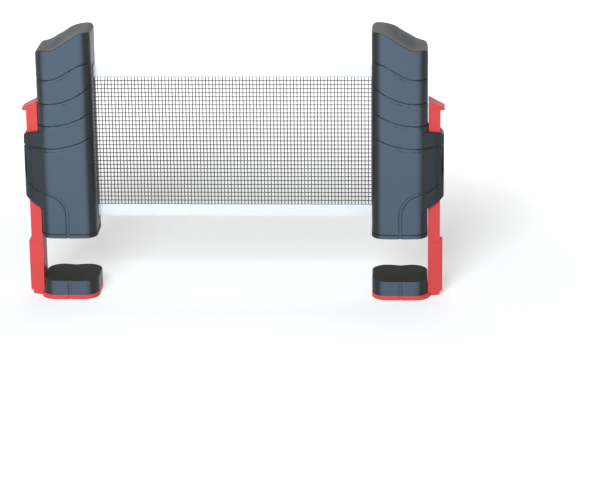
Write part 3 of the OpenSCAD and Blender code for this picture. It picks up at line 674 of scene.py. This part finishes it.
def made_by_nodes(name, source, tree, values):
    """The plain mesh that a tree of geometry nodes makes from a source mesh, as points and faces in
    millimetres, with any shares of the net's pull that it carries."""
    holder = bpy.data.objects.new(name, source)
    bpy.context.scene.collection.objects.link(holder)
    modifier = holder.modifiers.new(name, "NODES")
    modifier.node_group = tree
    identifiers = {item.name: item.identifier for item in tree.interface.items_tree if item.in_out == "INPUT"}
    for label, value in values.items():
        modifier[identifiers[label]] = value
    made = bpy.data.meshes.new_from_object(holder.evaluated_get(bpy.context.evaluated_depsgraph_get()))
    points = np.zeros(len(made.vertices) * 3)
    made.vertices.foreach_get("co", points)
    faces = [list(face.vertices) for face in made.polygons]
    shares = None
    if "share" in made.attributes:
        shares = np.zeros(len(made.vertices))
        made.attributes["share"].data.foreach_get("value", shares)
    bpy.data.objects.remove(holder)
    return points.reshape(-1, 3), faces, shares


def points_mesh(name, points, shares=None):
    mesh = bpy.data.meshes.new(name)
    mesh.from_pydata([list(map(float, p)) for p in points], [], [])
    if shares is not None:
        mesh.attributes.new("share", "FLOAT", "POINT").data.foreach_set("value", np.asarray(shares, np.float32))
    return mesh


def geometry_tree(name, inputs):
    """An empty tree of geometry nodes, which makes something from a source and of a material."""
    return group_of(
        "GeometryNodeTree", name, {"Source": "Geometry", **inputs, "Material": "Material"}, {"Made": "Geometry"},
    )


def up(tree, height):
    return result(tree, "ShaderNodeCombineXYZ", {"Z": height})


def together(tree, *parts):
    """Several geometries as one."""
    both = node(tree, "GeometryNodeJoinGeometry")
    for part in parts:
        tree.links.new(part, both.inputs[0])
    return both.outputs[0]


def round_along(tree, way, steps, radius):
    """A round wire or thread along a curve."""
    section = result(tree, "GeometryNodeCurvePrimitiveCircle", {"Resolution": steps, "Radius": radius})
    return result(tree, "GeometryNodeCurveToMesh", {"Curve": way, "Profile Curve": section, "Fill Caps": True})


def stood_on(tree, places, shape, **aim):
    return result(tree, "GeometryNodeInstanceOnPoints", {"Points": places, "Instance": shape, **aim})


def end_tree(tree, given, out, made):
    """The end of a tree: the instances made real, and in their material."""
    real = result(tree, "GeometryNodeRealizeInstances", {0: made})
    cast = result(tree, "GeometryNodeSetMaterial", {"Geometry": real, "Material": given["Material"]})
    tree.links.new(cast, out["Made"])
    return tree


# A coil of round wire that stands on each point
hook_size = 0.8
tree, given, out = geometry_tree(
    "coil_of_wire", {"Turns": 50, "Radius": 4, "Height": 100, "Wire": 0.5, "Hooks": "Bool"},
)
reach = given["Radius"]
line = result(
    tree, "GeometryNodeCurveSpiral",
    {"Resolution": 20, "Rotations": given["Turns"], "Start Radius": reach, "End Radius": reach,
     "Height": given["Height"]},
)
loop = result(tree, "GeometryNodeCurvePrimitiveCircle", {"Resolution": 20, "Radius": reach})
hooks = []
for share_up, beyond in ((0, -hook_size), (1, hook_size)):
    lift = sum_of(tree, "MULTIPLY", given["Height"], share_up)
    lift = sum_of(tree, "MULTIPLY_ADD", reach, beyond, lift)
    hooks.append(result(
        tree, "GeometryNodeTransform",
        {0: loop, "Translation": up(tree, lift), "Rotation": (math.pi / 2, 0, 0), "Scale": (hook_size,) * 3},
    ))
both_hooks = together(tree, *hooks)
hooked = result(tree, "GeometryNodeSwitch", {"Switch": given["Hooks"], "True": both_hooks}, input_type="GEOMETRY")
wire = round_along(tree, together(tree, line, hooked), 8, given["Wire"])
coil_tree = end_tree(tree, given, out, stood_on(tree, given["Source"], wire))


def coil(name, x, low_z, high_z, turns, radius, wire, hooks):
    """The points and faces of one coil, its middle line at a radius."""
    values = {
        "Turns": float(turns), "Radius": float(radius), "Height": float(high_z - low_z - 2 * wire), "Wire": wire,
        "Hooks": hooks, "Material": spring_steel,
    }
    return made_by_nodes(name, points_mesh(name, [[x, 0, low_z + wire]]), coil_tree, values)[:2]


roller_wire, spring_play = 1.2, 0.4
torsion_low, torsion_high = corners_of("right_roller_spring")
torsion = coil(
    "torsion_coil", roller_x, torsion_low[2], torsion_high[2], 84,
    spindle_r + spring_play + roller_wire / 2, roller_wire / 2, False,
)
on_both_posts("roller_spring", *torsion, spring_steel, "post", 60)

# The wound part of the net: one long strip, wound on the tube as a spiral.
roll_low, roll_high = corners_of("right_net_roll")
roll_r = (roll_high[0] - roll_low[0]) / 2
net_z, net_top_z = roll_low[2], roll_high[2]
mesh_t, strip_t, tape_t, tape_h = 0.6, 0.42, 1.2, 12
lead_x = mouth_high[0] - inner_x + 0.5
lead_r = roll_r + tape_t / 2 + running_play
lead_turn = math.acos(lead_r / (roller_x - lead_x))
turns_wound = (roll_r - tube_r - 0.1) / mesh_t
share_in = np.linspace(0, 1, int(turns_wound * 48) + 1)
angle_in = math.pi - lead_turn - share_in * turns_wound * 2 * math.pi
out_side = roll_r - share_in * turns_wound * mesh_t
spiral = [
    np.stack([roller_x + r * np.cos(angle_in), r * np.sin(angle_in), np.full(len(r), z)], 1)
    for z in (net_z, net_top_z) for r in (out_side, out_side - strip_t)
]
n = len(share_in)
ring = (0, n, 3 * n, 2 * n)
spiral_faces = [
    [a + i, a + i + 1, b + i + 1, b + i] for i in range(n - 1) for a, b in zip(ring, ring[1:] + ring[:1])
]
spiral_faces += [list(ring), [corner + n - 1 for corner in ring[::-1]]]

# Knitted and woven goods: two sets of threads that cross, and a little fluff
tree, given, out = finish_of("woven_finish", {"Threads": 2500, "Tone": 0.1, "Roughness": 0.75})
thread_sets = [
    node(
        tree, "ShaderNodeTexWave",
        {"Vector": given["Place"], "Scale": given["Threads"], "Distortion": 0.6, "Detail": 1, "Detail Scale": 2},
        bands_direction=along,
    ).outputs["Fac"] for along in ("X", "Z")
]
crossed = sum_of(tree, "MULTIPLY", *thread_sets)
fluff = noise(tree, given["Place"], 500, 4)
woven_finish = finished(
    tree, out, given["Color"], drifting(tree, fluff, given["Tone"], 1),
    sum_of(tree, "MULTIPLY_ADD", crossed, -0.1, given["Roughness"]), crossed,
)
net_thread = material_of(
    "net_thread", woven_finish, {"Color": linear(68, 68, 66), "Threads": 900, "Roughness": 0.65}, 0.2, 0.0001,
)
tape_fabric = material_of(
    "tape_fabric", woven_finish, {"Color": linear(240, 240, 243), "Threads": 380, "Tone": 0.04, "Roughness": 0.8},
    0.35, 0.0002, Sheen_Weight=0.15,
)
for piece in on_both_posts("net_roll", np.concatenate(spiral), spiral_faces, net_thread, "roller"):
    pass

# ------------------------------------------------------------------------------
# The net's mouth: a black lip set in the slot of the case, with a flange behind the wall. The net
# runs out through its slit.

black_plastic = material_of(
    "black_plastic", moulded_grain_painted_sheen_and_shade, {"Color": linear(34, 35, 37), "Roughness": 0.42, "Tone": 0.05}, 0.12, 0.0001,
)
slit_half, flange_w = tape_t / 2 + 0.5, 1.5


def mouth_form(x, y, z):
    lip = cut_together(slab(x, 0.1, wall + 0.2), slab(z, tube_z, tube_top_z), 0.3)
    lip = cut_together(lip, np.abs(y) - mouth_half, 0.5)
    flange = cut_together(slab(x, wall, wall + flange_w), slab(z, tube_z - flange_w, tube_top_z + flange_w), 0.3)
    flange = cut_together(flange, np.abs(y) - mouth_high[1], 0.3)
    slit = np.maximum(np.abs(y) - slit_half, slab(z, net_z - 1.5, net_top_z + 1.5))
    return cut_together(np.minimum(lip, flange), -slit, 0.45)


field_piece(
    "net_mouth", mouth_form, [-0.7, -mouth_high[1] - 1, tube_z - 3.4],
    [wall + 2.9, mouth_high[1] + 1.2, tube_top_z + 3.6], [0.4, 0.45, 1.1], black_plastic, "post",
)

# ------------------------------------------------------------------------------
# Screws: zinc-plated pan heads with a cross recess and a coarse thread for plastic. The case
# screws go in from the rear, the base screws and the jaw screws from below.

thread_pitch, thread_high, dome_drop = 1.2, 0.22, 3.2
cross_half, cross_reach, cross_floor = 0.28, 1.75, 0.55


def screw_form(x, y, z, length):
    r = np.hypot(x, y)
    turn = np.arctan2(y, x) / (2 * math.pi)
    ridge = np.abs((z / thread_pitch - turn) % 1 - 0.5) * 2
    taper = np.clip((z + length) / 3, 0, 1)
    core = r - (screw_r - thread_high + thread_high * (1 - ridge)) * (0.35 + 0.65 * taper)
    shank = np.maximum(core * 0.9, slab(z, -length, 0.2))
    dome = np.hypot(r, z + dome_drop) - (head_h + dome_drop)
    head = cut_together(cut_together(r - head_r, -z, 0.15), dome, 0.35)
    cross_arms = np.minimum(np.abs(x), np.abs(y)) - cross_half
    cross = shared(cross_arms, r - cross_reach + (head_h - z) * 0.45, cross_floor - z)
    return np.maximum(np.minimum(shank, head), -cross)


tree, given, out = geometry_tree("screws_in_place", {"Screw": "Object", "Way": "Vector", "Seed": "Int"})
shape_of = node(tree, "GeometryNodeObjectInfo", {"Object": given["Screw"]})
spin = node(tree, "FunctionNodeRandomValue", {"Max": math.pi, "Seed": given["Seed"]}, data_type="FLOAT")
aimed = stood_on(tree, given["Source"], shape_of.outputs["Geometry"], Rotation=given["Way"])
driven = result(
    tree, "GeometryNodeRotateInstances",
    {"Instances": aimed, "Rotation": up(tree, next(o for o in spin.outputs if o.enabled)), "Local Space": True},
)
screws_tree = end_tree(tree, given, out, driven)


def screws(name, length, holes, way, body):
    """A group of like screws: each points away from its head, which sits at a hole."""
    points, faces = skin(
        lambda x, y, z: screw_form(x, y, z, length), [-3.3, -3.3, -length - 0.6], [3.4, 3.4, head_h + 0.6],
        [0.27, 0.27, 0.3],
    )
    one = piece_from(name, points, faces, screw_steel)
    values = {"Screw": one, "Way": way, "Seed": 3, "Material": screw_steel}
    placed, placed_faces, _ = made_by_nodes(f"{name}_holes", points_mesh(name, holes), screws_tree, values)
    bpy.data.objects.remove(one)
    on_both_posts(name, placed, placed_faces, screw_steel, body)


def screw_way(x, y, z, at_x, at_y, head_z):
    """The way for a screw from below: a hole, and a wider seat for its head."""
    seat = np.maximum(rod(x, y, at_x, at_y, head_r + screw_play), z - head_z)
    return np.minimum(rod(x, y, at_x, at_y, screw_r + screw_play), seat)


base_pad_low, base_pad_high = corners_of("right_base_pad")
base_screw_z, jaw_screw_z = base_pad_high[2] + head_h, head_h + 0.5
jaw_screw_span = 28
jaw_screw_xs = ((post_w - jaw_screw_span) / 2, (post_w + jaw_screw_span) / 2)
screws("case_screws", case_screw_l, [[x, head_y, z] for x, z in case_bosses], (-math.pi / 2, 0, 0), "post")
screws(
    "base_screws", 9, [[base_boss_x, side * base_boss_y, base_screw_z] for side in (-1, 1)], (math.pi, 0, 0), "post",
)
screws("jaw_screws", 10, [[x, 0, jaw_screw_z] for x in jaw_screw_xs], (math.pi, 0, 0), "clamp")

# ------------------------------------------------------------------------------
# The base plate closes the case from below. The S-shaped groove runs on down its front. A rubber
# pad sits in its recess and grips the table top.

seam_h, seam_depth, pad_rim, seat_play = 1, 1.1, 1.8, 0.1
base_z = corners_of("right_base_plate")[0][2]


def upright_groove(x):
    return groove(np.abs(x - upright_groove_x), front_groove_half, 0.35)


def base_plate_form(x, y, z):
    front_groove = np.where(x < post_w - corner_r, upright_groove(x), 0)
    plate = cut_together(post_outline(x, y, 0) + front_groove, slab(z, base_z, shell_z - seam_h), 0.35)
    tongue = np.maximum(post_outline(x, y, seam_depth), slab(z, base_z + 1, shell_z))
    recess = np.maximum(post_outline(x, y, pad_rim), z - base_pad_high[2])
    form = cut_together(np.minimum(plate, tongue), -recess, 0.15)
    for side in (-1, 1):
        form = np.maximum(form, -screw_way(x, y, z, base_boss_x, side * base_boss_y, base_screw_z))
    return form


groove_at = ([(upright_groove_x - 3, upright_groove_x + 3, 0.35)], [], [])
field_piece(
    "base_plate", base_plate_form, [-1.3, -27.2, base_z - 0.9], [post_w + 1.5, 27.4, shell_z + 0.9],
    [0.9, 0.8, 0.4], case_plastic, "post", groove_at,
)

# Rubber: dull, dusty and faintly pitted
tree, given, out = finish_of("rubber_finish", {"Dust": 0.12, "Roughness": 0.85})
pits = result(tree, "ShaderNodeTexVoronoi", {"Vector": given["Place"], "Scale": 1400})
dust = noise(tree, given["Place"], 90, 6)
rubber_finish = finished(
    tree, out, given["Color"], drifting(tree, dust, given["Dust"], 1),
    sum_of(tree, "MULTIPLY_ADD", dust, 0.1, given["Roughness"]), pits,
)
pad_rubber = material_of(
    "pad_rubber", rubber_finish, {"Color": linear(44, 44, 40), "Dust": 0.22}, 0.3, 0.00015, Specular_IOR_Level=0.25,
)
rib_h, rib_pitch, rib_rim = 0.25, 2.4, 2.5


def base_pad_form(x, y, z):
    ribs = rib_h * np.clip(np.abs((x / rib_pitch) % 1 - 0.5) * 4 - 1, 0, 1)
    low = base_pad_low[2] + np.where(post_outline(x, y, pad_rim + rib_rim) < 0, ribs, 0)
    return cut_together(post_outline(x, y, pad_rim + seat_play), np.maximum(low - z, z - base_pad_high[2]), 0.25)


field_piece(
    "base_pad", base_pad_form, [0.3, -25.2, base_pad_low[2] - 0.9], [post_w - 0.3, 25.3, base_pad_high[2] + 0.9],
    [0.6, 1.2, 0.3], pad_rubber, "post",
)

# ------------------------------------------------------------------------------
# The clamp's slider: arm, barbed top, foot plate and lug in one red moulding. The arm slides in
# the ear, and the lug reaches into the case, where the clamp spring pulls it up.

red_plastic = material_of(
    "red_plastic", moulded_grain_painted_sheen_and_shade, {"Color": linear(222, 78, 78), "Roughness": 0.38, "Tone": 0.04}, 0.1, 0.0001,
    Specular_IOR_Level=0.15,
)
slider_high, jaw_high = corners_of("right_clamp_slider")[1], corners_of("right_jaw_block")[1]
barb_x, arm_top_z = slider_high[0] - inner_x, slider_high[2]
arm_out_x, arm_low_x, arm_step_z, arm_edge_r = arm_x + arm_t, arm_x + 14.2, 54.5, 0.5
barb_lip, barb_slant, barb_flat = 2.5, 6.5, 1
barb_z, barb_w = arm_top_z - barb_lip - barb_slant, barb_x - arm_x - barb_flat
sole_w, toe_rise = 2.3, 4.2
toe_w = arm_low_x - arm_x - sole_w
nick_depth, foot_t = 0.5, 4.5
jaw_gap, jaw_corner_r, hollow_depth, hollow_half = 0.3, 15, 2.8, 13


def jaw_outline(x, y, inset, high_x=post_w):
    """The jaw seen from above: a narrow groove in front, and a broad hollow between two lobes behind."""
    rear = hollow_depth * np.clip(1 - np.abs(x - upright_groove_x) / hollow_half, 0, 1) ** 1.7
    dip = np.where(y < 0, upright_groove(x), rear)
    return upright_block(x, np.abs(y) + dip, jaw_gap, high_x, jaw_high[1], jaw_corner_r) + inset


def slider_form(x, y, z):
    half = arm_d / 2 - arm_taper * (x - arm_x)
    beside = (np.abs(y) - half) * math.cos(math.atan(arm_taper))
    stem = shared(arm_x - x, x - arm_out_x, z - barb_z - 1)
    low_arm = shared(arm_x - x, x - arm_low_x, z - arm_step_z)
    toe = (x - arm_x - sole_w) * toe_rise - z * toe_w
    low_arm = cut_together(low_arm, toe / math.hypot(toe_rise, toe_w), arm_edge_r)
    slant = (x - arm_x - barb_flat) * barb_slant + (z - arm_top_z) * barb_w
    barb = rounded(arm_edge_r, slant / math.hypot(barb_slant, barb_w), x - barb_x, z - arm_top_z)
    barb = cut_together(np.maximum(barb, arm_x - x), barb_z - z, arm_edge_r)
    arm = joined(np.minimum(stem, low_arm), barb, 0.3)
    arm = cut_together(arm, -z, 0.2)
    nick = nick_depth * np.clip(1.4 - np.abs(z - arm_step_z + 0.6) / 0.45, 0, 1)
    arm = cut_together(arm, beside + nick, arm_edge_r)
    foot = cut_together(jaw_outline(x, y, 0, arm_x + sole_w), slab(z, 0, foot_t), 0.5)
    lug = np.maximum(slab(z, lug_z - lug_h / 2, lug_z + lug_h / 2), np.abs(y) - lug_w / 2)
    lug = cut_together(lug, slab(x, spring_x - clamp_spring_r, arm_x + 1), 0.4)
    form = joined(joined(arm, foot, 0.5), lug, 0.5)
    for screw_x in jaw_screw_xs:
        way = np.maximum(screw_way(x, y, z, screw_x, 0, jaw_screw_z), z - foot_t - 1)
        form = cut_together(form, -way, 0.15)
    return form


slider_cells = (
    groove_at[0], [], [(-1, 6, 0.5), (arm_step_z - 2, arm_step_z + 2, 0.4), (barb_z - 2, arm_top_z + 2, 0.5)],
)
field_piece(
    "clamp_slider", slider_form, [-0.9, -28.1, -1.1], [barb_x + 1.5, 28.3, arm_top_z + 1.5],
    [0.75, 0.8, 0.8], red_plastic, "clamp", slider_cells,
)


def blend_by_share(piece, shares):
    """Writes stand-in places worked from the points' shares of the motion, clipped to 0 to 1, bakes the piece's
    transform in, and puts the points back as they were.
    """
    shares = np.clip(shares, 0, 1)
    points = np.zeros(len(piece.data.vertices) * 3, np.float32)
    piece.data.vertices.foreach_get("co", points)
    stand_in = np.zeros_like(points).reshape(-1, 3)
    stand_in[:, 0] = 0.5 - np.sin(np.arcsin(1 - 2 * shares) / 3)
    piece.data.vertices.foreach_set("co", stand_in.ravel())
    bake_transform(piece)
    piece.data.vertices.foreach_set("co", points)
    piece.data.update()


# The clamp spring is a tension spring: it hangs from the peg in the front shell and is hooked to
# the lug, so it shortens as the jaw closes.
clamp_wire = 1
points, faces = coil(
    "tension_coil", spring_x, spring_low[2], spring_high[2], 54, clamp_spring_r - clamp_wire / 2, clamp_wire / 2, True,
)
points[:, 2] = np.clip(points[:, 2], spring_low[2] + 0.2, None)
shares = (spring_high[2] - points[:, 2]) / (spring_high[2] - spring_low[2])
for word, side in SIDES:
    outward = faces if side > 0 else [face[::-1] for face in faces]
    piece = piece_from(f"{word}_clamp_spring_wound", on_post(points, side), outward, spring_steel, 60)
    blend_by_share(piece, shares)
    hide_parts(f"{word}_clamp_spring")

# ------------------------------------------------------------------------------
# The jaw: a slate-grey block screwed on the foot plate. A rubber pad, which grips the table from
# below, is let into its top.

jaw_rim = 1.0
jaw_pad_low, jaw_pad_high = corners_of("right_jaw_pad")
jaw_pad_z, jaw_pad_top_z = jaw_pad_low[2], jaw_pad_high[2]


def jaw_block_form(x, y, z):
    block = cut_together(jaw_outline(x, y, 0), slab(z, foot_t, jaw_high[2]), 0.5)
    recess = np.maximum(jaw_outline(x, y, jaw_rim), jaw_pad_z - z)
    form = cut_together(block, -recess, 0.15)
    for screw_x in jaw_screw_xs:
        hole = np.maximum(rod(x, y, screw_x, 0, screw_r + running_play), z - jaw_pad_z + 1.5)
        form = np.maximum(form, -hole)
    return form


def jaw_pad_form(x, y, z):
    return cut_together(jaw_outline(x, y, jaw_rim + seat_play), slab(z, jaw_pad_z, jaw_pad_top_z), 0.45)


field_piece(
    "jaw_block", jaw_block_form, [-0.9, -28.1, foot_t - 1.1], [post_w + 1.2, 28.3, jaw_high[2] + 1.1],
    [0.7, 0.7, 0.45], case_plastic, "clamp", groove_at,
)
field_piece(
    "jaw_pad", jaw_pad_form, [0.5, -26.8, jaw_pad_z - 0.9], [post_w, 27, jaw_pad_top_z + 0.9],
    [0.7, 0.7, 0.35], pad_rubber, "clamp", groove_at,
)

# ------------------------------------------------------------------------------
# The net: a knotted mesh of dark thread between two folded tapes, through both mouths to the rolls.
# Each upright thread has its own place at rest, where several stand together, and its own at full
# draw, and is given its share of the way from one to the other.

pull = next(joint for joint in frame["joints"] if joint["name"] == "net_pull")
full_draw = pull["range_m"][1] / mm
net_span = 2 * inner_x
columns, rows = 82, 32
thread_r, fold_in, stack_step = 0.45, 4.0, 0.06
mesh_low_z, mesh_high_z = net_z + tape_h, net_top_z - tape_h
pitch, row_pitch = net_span / columns, (mesh_high_z - mesh_low_z) / rows
uprights = round((net_span + full_draw) / pitch)
upright_places, upright_shares = [], []
for k in range(uprights + 1):
    drawn_x = k * (net_span + full_draw) / uprights
    column = round(k * columns / uprights)
    rest_x = column * pitch
    stacked = k - math.ceil((column - 0.5) * uprights / columns)
    depth = stack_step * (stacked // 2 + 1) * (-1) ** stacked if stacked > 0 else 0
    upright_places.append([rest_x - net_span / 2, depth, mesh_low_z - fold_in])
    upright_shares.append((drawn_x - rest_x) / full_draw)

tree, given, out = geometry_tree(
    "upright_threads", {"Thread": 0.4, "Height": 130, "Rows": "Int", "First Row": 4, "Pitch": 4},
)
thread = result(tree, "GeometryNodeMeshCylinder", {"Vertices": 6, "Radius": given["Thread"], "Depth": given["Height"]})
lift = up(tree, sum_of(tree, "MULTIPLY", given["Height"], 0.5))
thread = result(tree, "GeometryNodeTransform", {0: thread, "Translation": lift})
knot_r = sum_of(tree, "MULTIPLY", given["Thread"], 1.5)
knot = result(tree, "GeometryNodeMeshUVSphere", {"Segments": 4, "Rings": 2, "Radius": knot_r})
first, step_up = up(tree, given["First Row"]), up(tree, given["Pitch"])
knot_places = result(tree, "GeometryNodeMeshLine", {"Count": given["Rows"], "Start Location": first, "Offset": step_up})
knotted = together(tree, thread, stood_on(tree, knot_places, knot))
one_thread = result(tree, "GeometryNodeRealizeInstances", {0: knotted})
threads_tree = end_tree(tree, given, out, stood_on(tree, given["Source"], one_thread))
upright_points, upright_faces, point_shares = made_by_nodes(
    "upright_threads", points_mesh("upright_places", upright_places, upright_shares), threads_tree,
    {"Thread": thread_r, "Height": mesh_high_z - mesh_low_z + 2 * fold_in, "Rows": rows + 1, "First Row": fold_in,
     "Pitch": row_pitch, "Material": net_thread},
)

tree, given, out = geometry_tree("rows_of_thread", {"Thread": 0.4, "Rows": "Int", "Pitch": 4})
way = result(tree, "GeometryNodeMeshToCurve", {"Mesh": given["Source"]})
thread = round_along(tree, way, 6, given["Thread"])
step_up = up(tree, given["Pitch"])
row_places = result(tree, "GeometryNodeMeshLine", {"Count": given["Rows"], "Offset": step_up})
rows_tree = end_tree(tree, given, out, stood_on(tree, row_places, thread))

# The net's way seen from above: off one roll, through both mouths and onto the other roll
in_mouth = (net_span / 2 + lead_x, 0)
at_roll = (net_span / 2 + roller_x - lead_r * math.cos(lead_turn), lead_r * math.sin(lead_turn))
net_way = [[side * x, y] for side, (x, y) in ((-1, at_roll), (-1, in_mouth), (1, in_mouth), (1, at_roll))]
way_mesh = bpy.data.meshes.new("net_way")
way_mesh.from_pydata([[x, y, mesh_low_z] for x, y in net_way], [(0, 1), (1, 2), (2, 3)], [])
row_points, row_faces, _ = made_by_nodes(
    "rows_of_thread", way_mesh, rows_tree,
    {"Thread": thread_r, "Rows": rows + 1, "Pitch": row_pitch, "Material": net_thread},
)
net_points = np.concatenate([upright_points, row_points]) * mm
net_faces = upright_faces + [[i + len(upright_points) for i in face] for face in row_faces]
net_shares = np.concatenate([point_shares, (row_points[:, 0] > 0).astype(float)])
net = piece_from("net_mesh_knitted", net_points, net_faces, net_thread, 50)
blend_by_share(net, net_shares)
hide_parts("net_mesh")

# The tapes: white woven strips folded over the mesh's edges, with a row of stitches near the
# fold's open edges on both faces.
tree, given, out = geometry_tree("row_of_stitches", {"Thread": 0.2, "Length": 2})
stitch = result(tree, "GeometryNodeMeshUVSphere", {"Segments": 6, "Rings": 4, "Radius": given["Thread"]})
stretch = sum_of(tree, "MULTIPLY", sum_of(tree, "DIVIDE", given["Length"], given["Thread"]), 0.5)
long_way = result(tree, "ShaderNodeCombineXYZ", {"X": stretch, "Y": 0.7, "Z": 1.0})
stitch = result(tree, "GeometryNodeTransform", {0: stitch, "Scale": long_way})
stitches_tree = end_tree(tree, given, out, stood_on(tree, given["Source"], stitch))
stitch_l, stitch_r, stitch_line = 2.1, 0.22, 1.6
cloth_t, tape_half = 0.28, tape_t / 2


def tape_section(fold_side):
    """The folded tape's cut end: depth and height over its open edges; the fold is on fold_side."""
    outside = [(-tape_half, 0), (-tape_half, tape_h - 0.5), (-tape_half + 0.2, tape_h - 0.1), (0, tape_h),
               (tape_half - 0.2, tape_h - 0.1), (tape_half, tape_h - 0.5), (tape_half, 0)]
    room = tape_half - cloth_t
    inside = [(room, 0), (room, tape_h - 0.7), (0, tape_h - 0.45), (-room, tape_h - 0.7), (-room, 0)]
    return [(depth, height * fold_side) for depth, height in outside + inside]


def swept(section, way, z):
    """A strip with one cross-section along a level way, seen from above."""
    points = []
    for i, (x, y) in enumerate(way):
        before, after = np.array(way[max(i - 1, 0)]), np.array(way[min(i + 1, len(way) - 1)])
        along = (after - before) / np.linalg.norm(after - before)
        points += [[x - depth * along[1], y + depth * along[0], z + height] for depth, height in section]
    n = len(section)
    faces = []
    for i in range(len(way) - 1):
        for k in range(n):
            a, b = i * n + k, i * n + (k + 1) % n
            faces.append([a, b, b + n, a + n])
    faces += [list(range(n))[::-1], [(len(way) - 1) * n + k for k in range(n)]]
    return np.array(points), faces


def facing_out(p, faces):
    """The faces of a closed mesh, all turned outward."""
    volume = sum(np.dot(p[f[0]], np.cross(p[f[i]], p[f[i + 1]])) for f in faces for i in range(1, len(f) - 1))
    return faces if volume > 0 else [face[::-1] for face in faces]


for name, open_z, fold_side in (("top_tape", mesh_high_z, 1), ("bottom_tape", mesh_low_z, -1)):
    points, faces = swept(tape_section(fold_side), net_way, open_z)
    tape = piece_from(f"{name}_folded", points * mm, facing_out(points, faces), tape_fabric, 40)
    blend_by_share(tape, (points[:, 0] > 0).astype(float))
    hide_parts(name)
    stitch_z = open_z + fold_side * stitch_line
    places = [
        [x + pitch / 2, face * (tape_half + 0.04), stitch_z] for face in (-1, 1) for x, _, _ in upright_places[:-4]
    ]
    points, faces, shares = made_by_nodes(
        f"{name}_stitch_row", points_mesh(name, places, upright_shares[:-4] * 2), stitches_tree,
        {"Thread": stitch_r, "Length": stitch_l, "Material": tape_fabric},
    )
    stitches = piece_from(f"{name}_stitches", points * mm, faces, tape_fabric, 60)
    blend_by_share(stitches, shares)

# ------------------------------------------------------------------------------
# Camera, light and floor: a long lens a little above the set, one soft lamp in front, a weak one
# above and behind, and white paper.

camera_place = (0.1702, -2.3346, 0.8096)
camera_turn, camera_drop, camera_roll = 2.62, 17.9, -0.65
scene = bpy.context.scene
scene.view_settings.view_transform = "Standard"
camera_data = bpy.data.cameras.new("camera")
camera_data.sensor_width, camera_data.lens, camera_data.clip_end = 36, 150, 100
camera = bpy.data.objects.new("camera", camera_data)
scene.collection.objects.link(camera)
scene.camera = camera
camera.matrix_world = (
    Matrix.Translation(camera_place)
    @ Matrix.Rotation(math.radians(camera_turn), 4, "Z")
    @ Matrix.Rotation(math.radians(90 - camera_drop), 4, "X")
    @ Matrix.Rotation(math.radians(camera_roll), 4, "Z")
)
lamp_target = (0, 0, 0.14)


def lamp(name, azimuth, elevation, distance, width, height, watts, color):
    """A soft lamp turned towards the net. Its azimuth is to the right of the front, in degrees."""
    data = bpy.data.lights.new(name, "AREA")
    data.shape = "RECTANGLE"
    data.size, data.size_y, data.energy, data.color = width, height, watts, color
    made = bpy.data.objects.new(name, data)
    turn, rise = math.radians(azimuth), math.radians(elevation)
    way = Vector((math.sin(turn) * math.cos(rise), -math.cos(turn) * math.cos(rise), math.sin(rise)))
    made.location = Vector(lamp_target) + way * distance
    made.rotation_euler = way.to_track_quat("Z", "Y").to_euler()
    scene.collection.objects.link(made)


lamp("window_lamp", -9, 29, 2.2, 0.8, 0.8, 47, (0.88, 0.95, 1.0))
lamp("ceiling_lamp", 172, 62, 2.2, 1.4, 1.0, 9, (1.0, 0.96, 0.84))


def seen_share(tree):
    """1 for rays from the camera, from gloss and through glass, and 0 for the light's own rays."""
    path = node(tree, "ShaderNodeLightPath").outputs
    share = sum_of(tree, "MAXIMUM", path["Is Camera Ray"], path["Is Glossy Ray"])
    return sum_of(tree, "MAXIMUM", share, path["Is Transmission Ray"])


world = bpy.data.worlds.new("studio")
world.use_nodes = True
scene.world = world
tree = world.node_tree
dim = result(tree, "ShaderNodeBackground", {"Color": (0.93, 0.96, 1.0, 1), "Strength": 0.22})
white = result(tree, "ShaderNodeBackground", {"Color": (1, 1, 1, 1), "Strength": 1.0})
chosen = result(tree, "ShaderNodeMixShader", {0: seen_share(tree), 1: dim, 2: white})
tree.links.new(chosen, tree.nodes["World Output"].inputs["Surface"])

# The floor: white paper, which shows the object's shadow near by and fades into the white around.
# Seen from below it is clear.
floor_half, shadow_r, fade_r = 6, 0.26, 0.8
floor_mesh = bpy.data.meshes.new("floor")
floor_mesh.from_pydata(
    [(x * floor_half, y * floor_half, 0) for x, y in ((-1, -1), (1, -1), (1, 1), (-1, 1))], [], [(0, 1, 2, 3)],
)
floor = bpy.data.objects.new("floor", floor_mesh)
scene.collection.objects.link(floor)
floor_paper = bpy.data.materials.new("floor_paper")
floor_paper.use_nodes = True
tree = floor_paper.node_tree
tree.nodes.remove(tree.nodes["Principled BSDF"])
place = node(tree, "ShaderNodeTexCoord").outputs["Object"]
far = node(tree, "ShaderNodeVectorMath", {0: place}, operation="LENGTH").outputs["Value"]
faded = result(
    tree, "ShaderNodeMapRange",
    {"Value": far, "From Min": shadow_r, "From Max": fade_r, "To Min": 0.41, "To Max": 1.0},
    interpolation_type="SMOOTHSTEP",
)
glow = sum_of(tree, "MULTIPLY", seen_share(tree), faded)
paper = result(tree, "ShaderNodeBsdfDiffuse", {"Color": (0.78, 0.78, 0.78, 1)})
glow = result(tree, "ShaderNodeEmission", {"Color": (1, 1, 1, 1), "Strength": glow})
both = result(tree, "ShaderNodeAddShader", {0: paper, 1: glow})
underneath = node(tree, "ShaderNodeNewGeometry").outputs["Backfacing"]
clear = result(tree, "ShaderNodeBsdfTransparent", {})
one_sided = result(tree, "ShaderNodeMixShader", {0: underneath, 1: both, 2: clear})
tree.links.new(one_sided, tree.nodes["Material Output"].inputs["Surface"])
floor_mesh.materials.append(floor_paper)
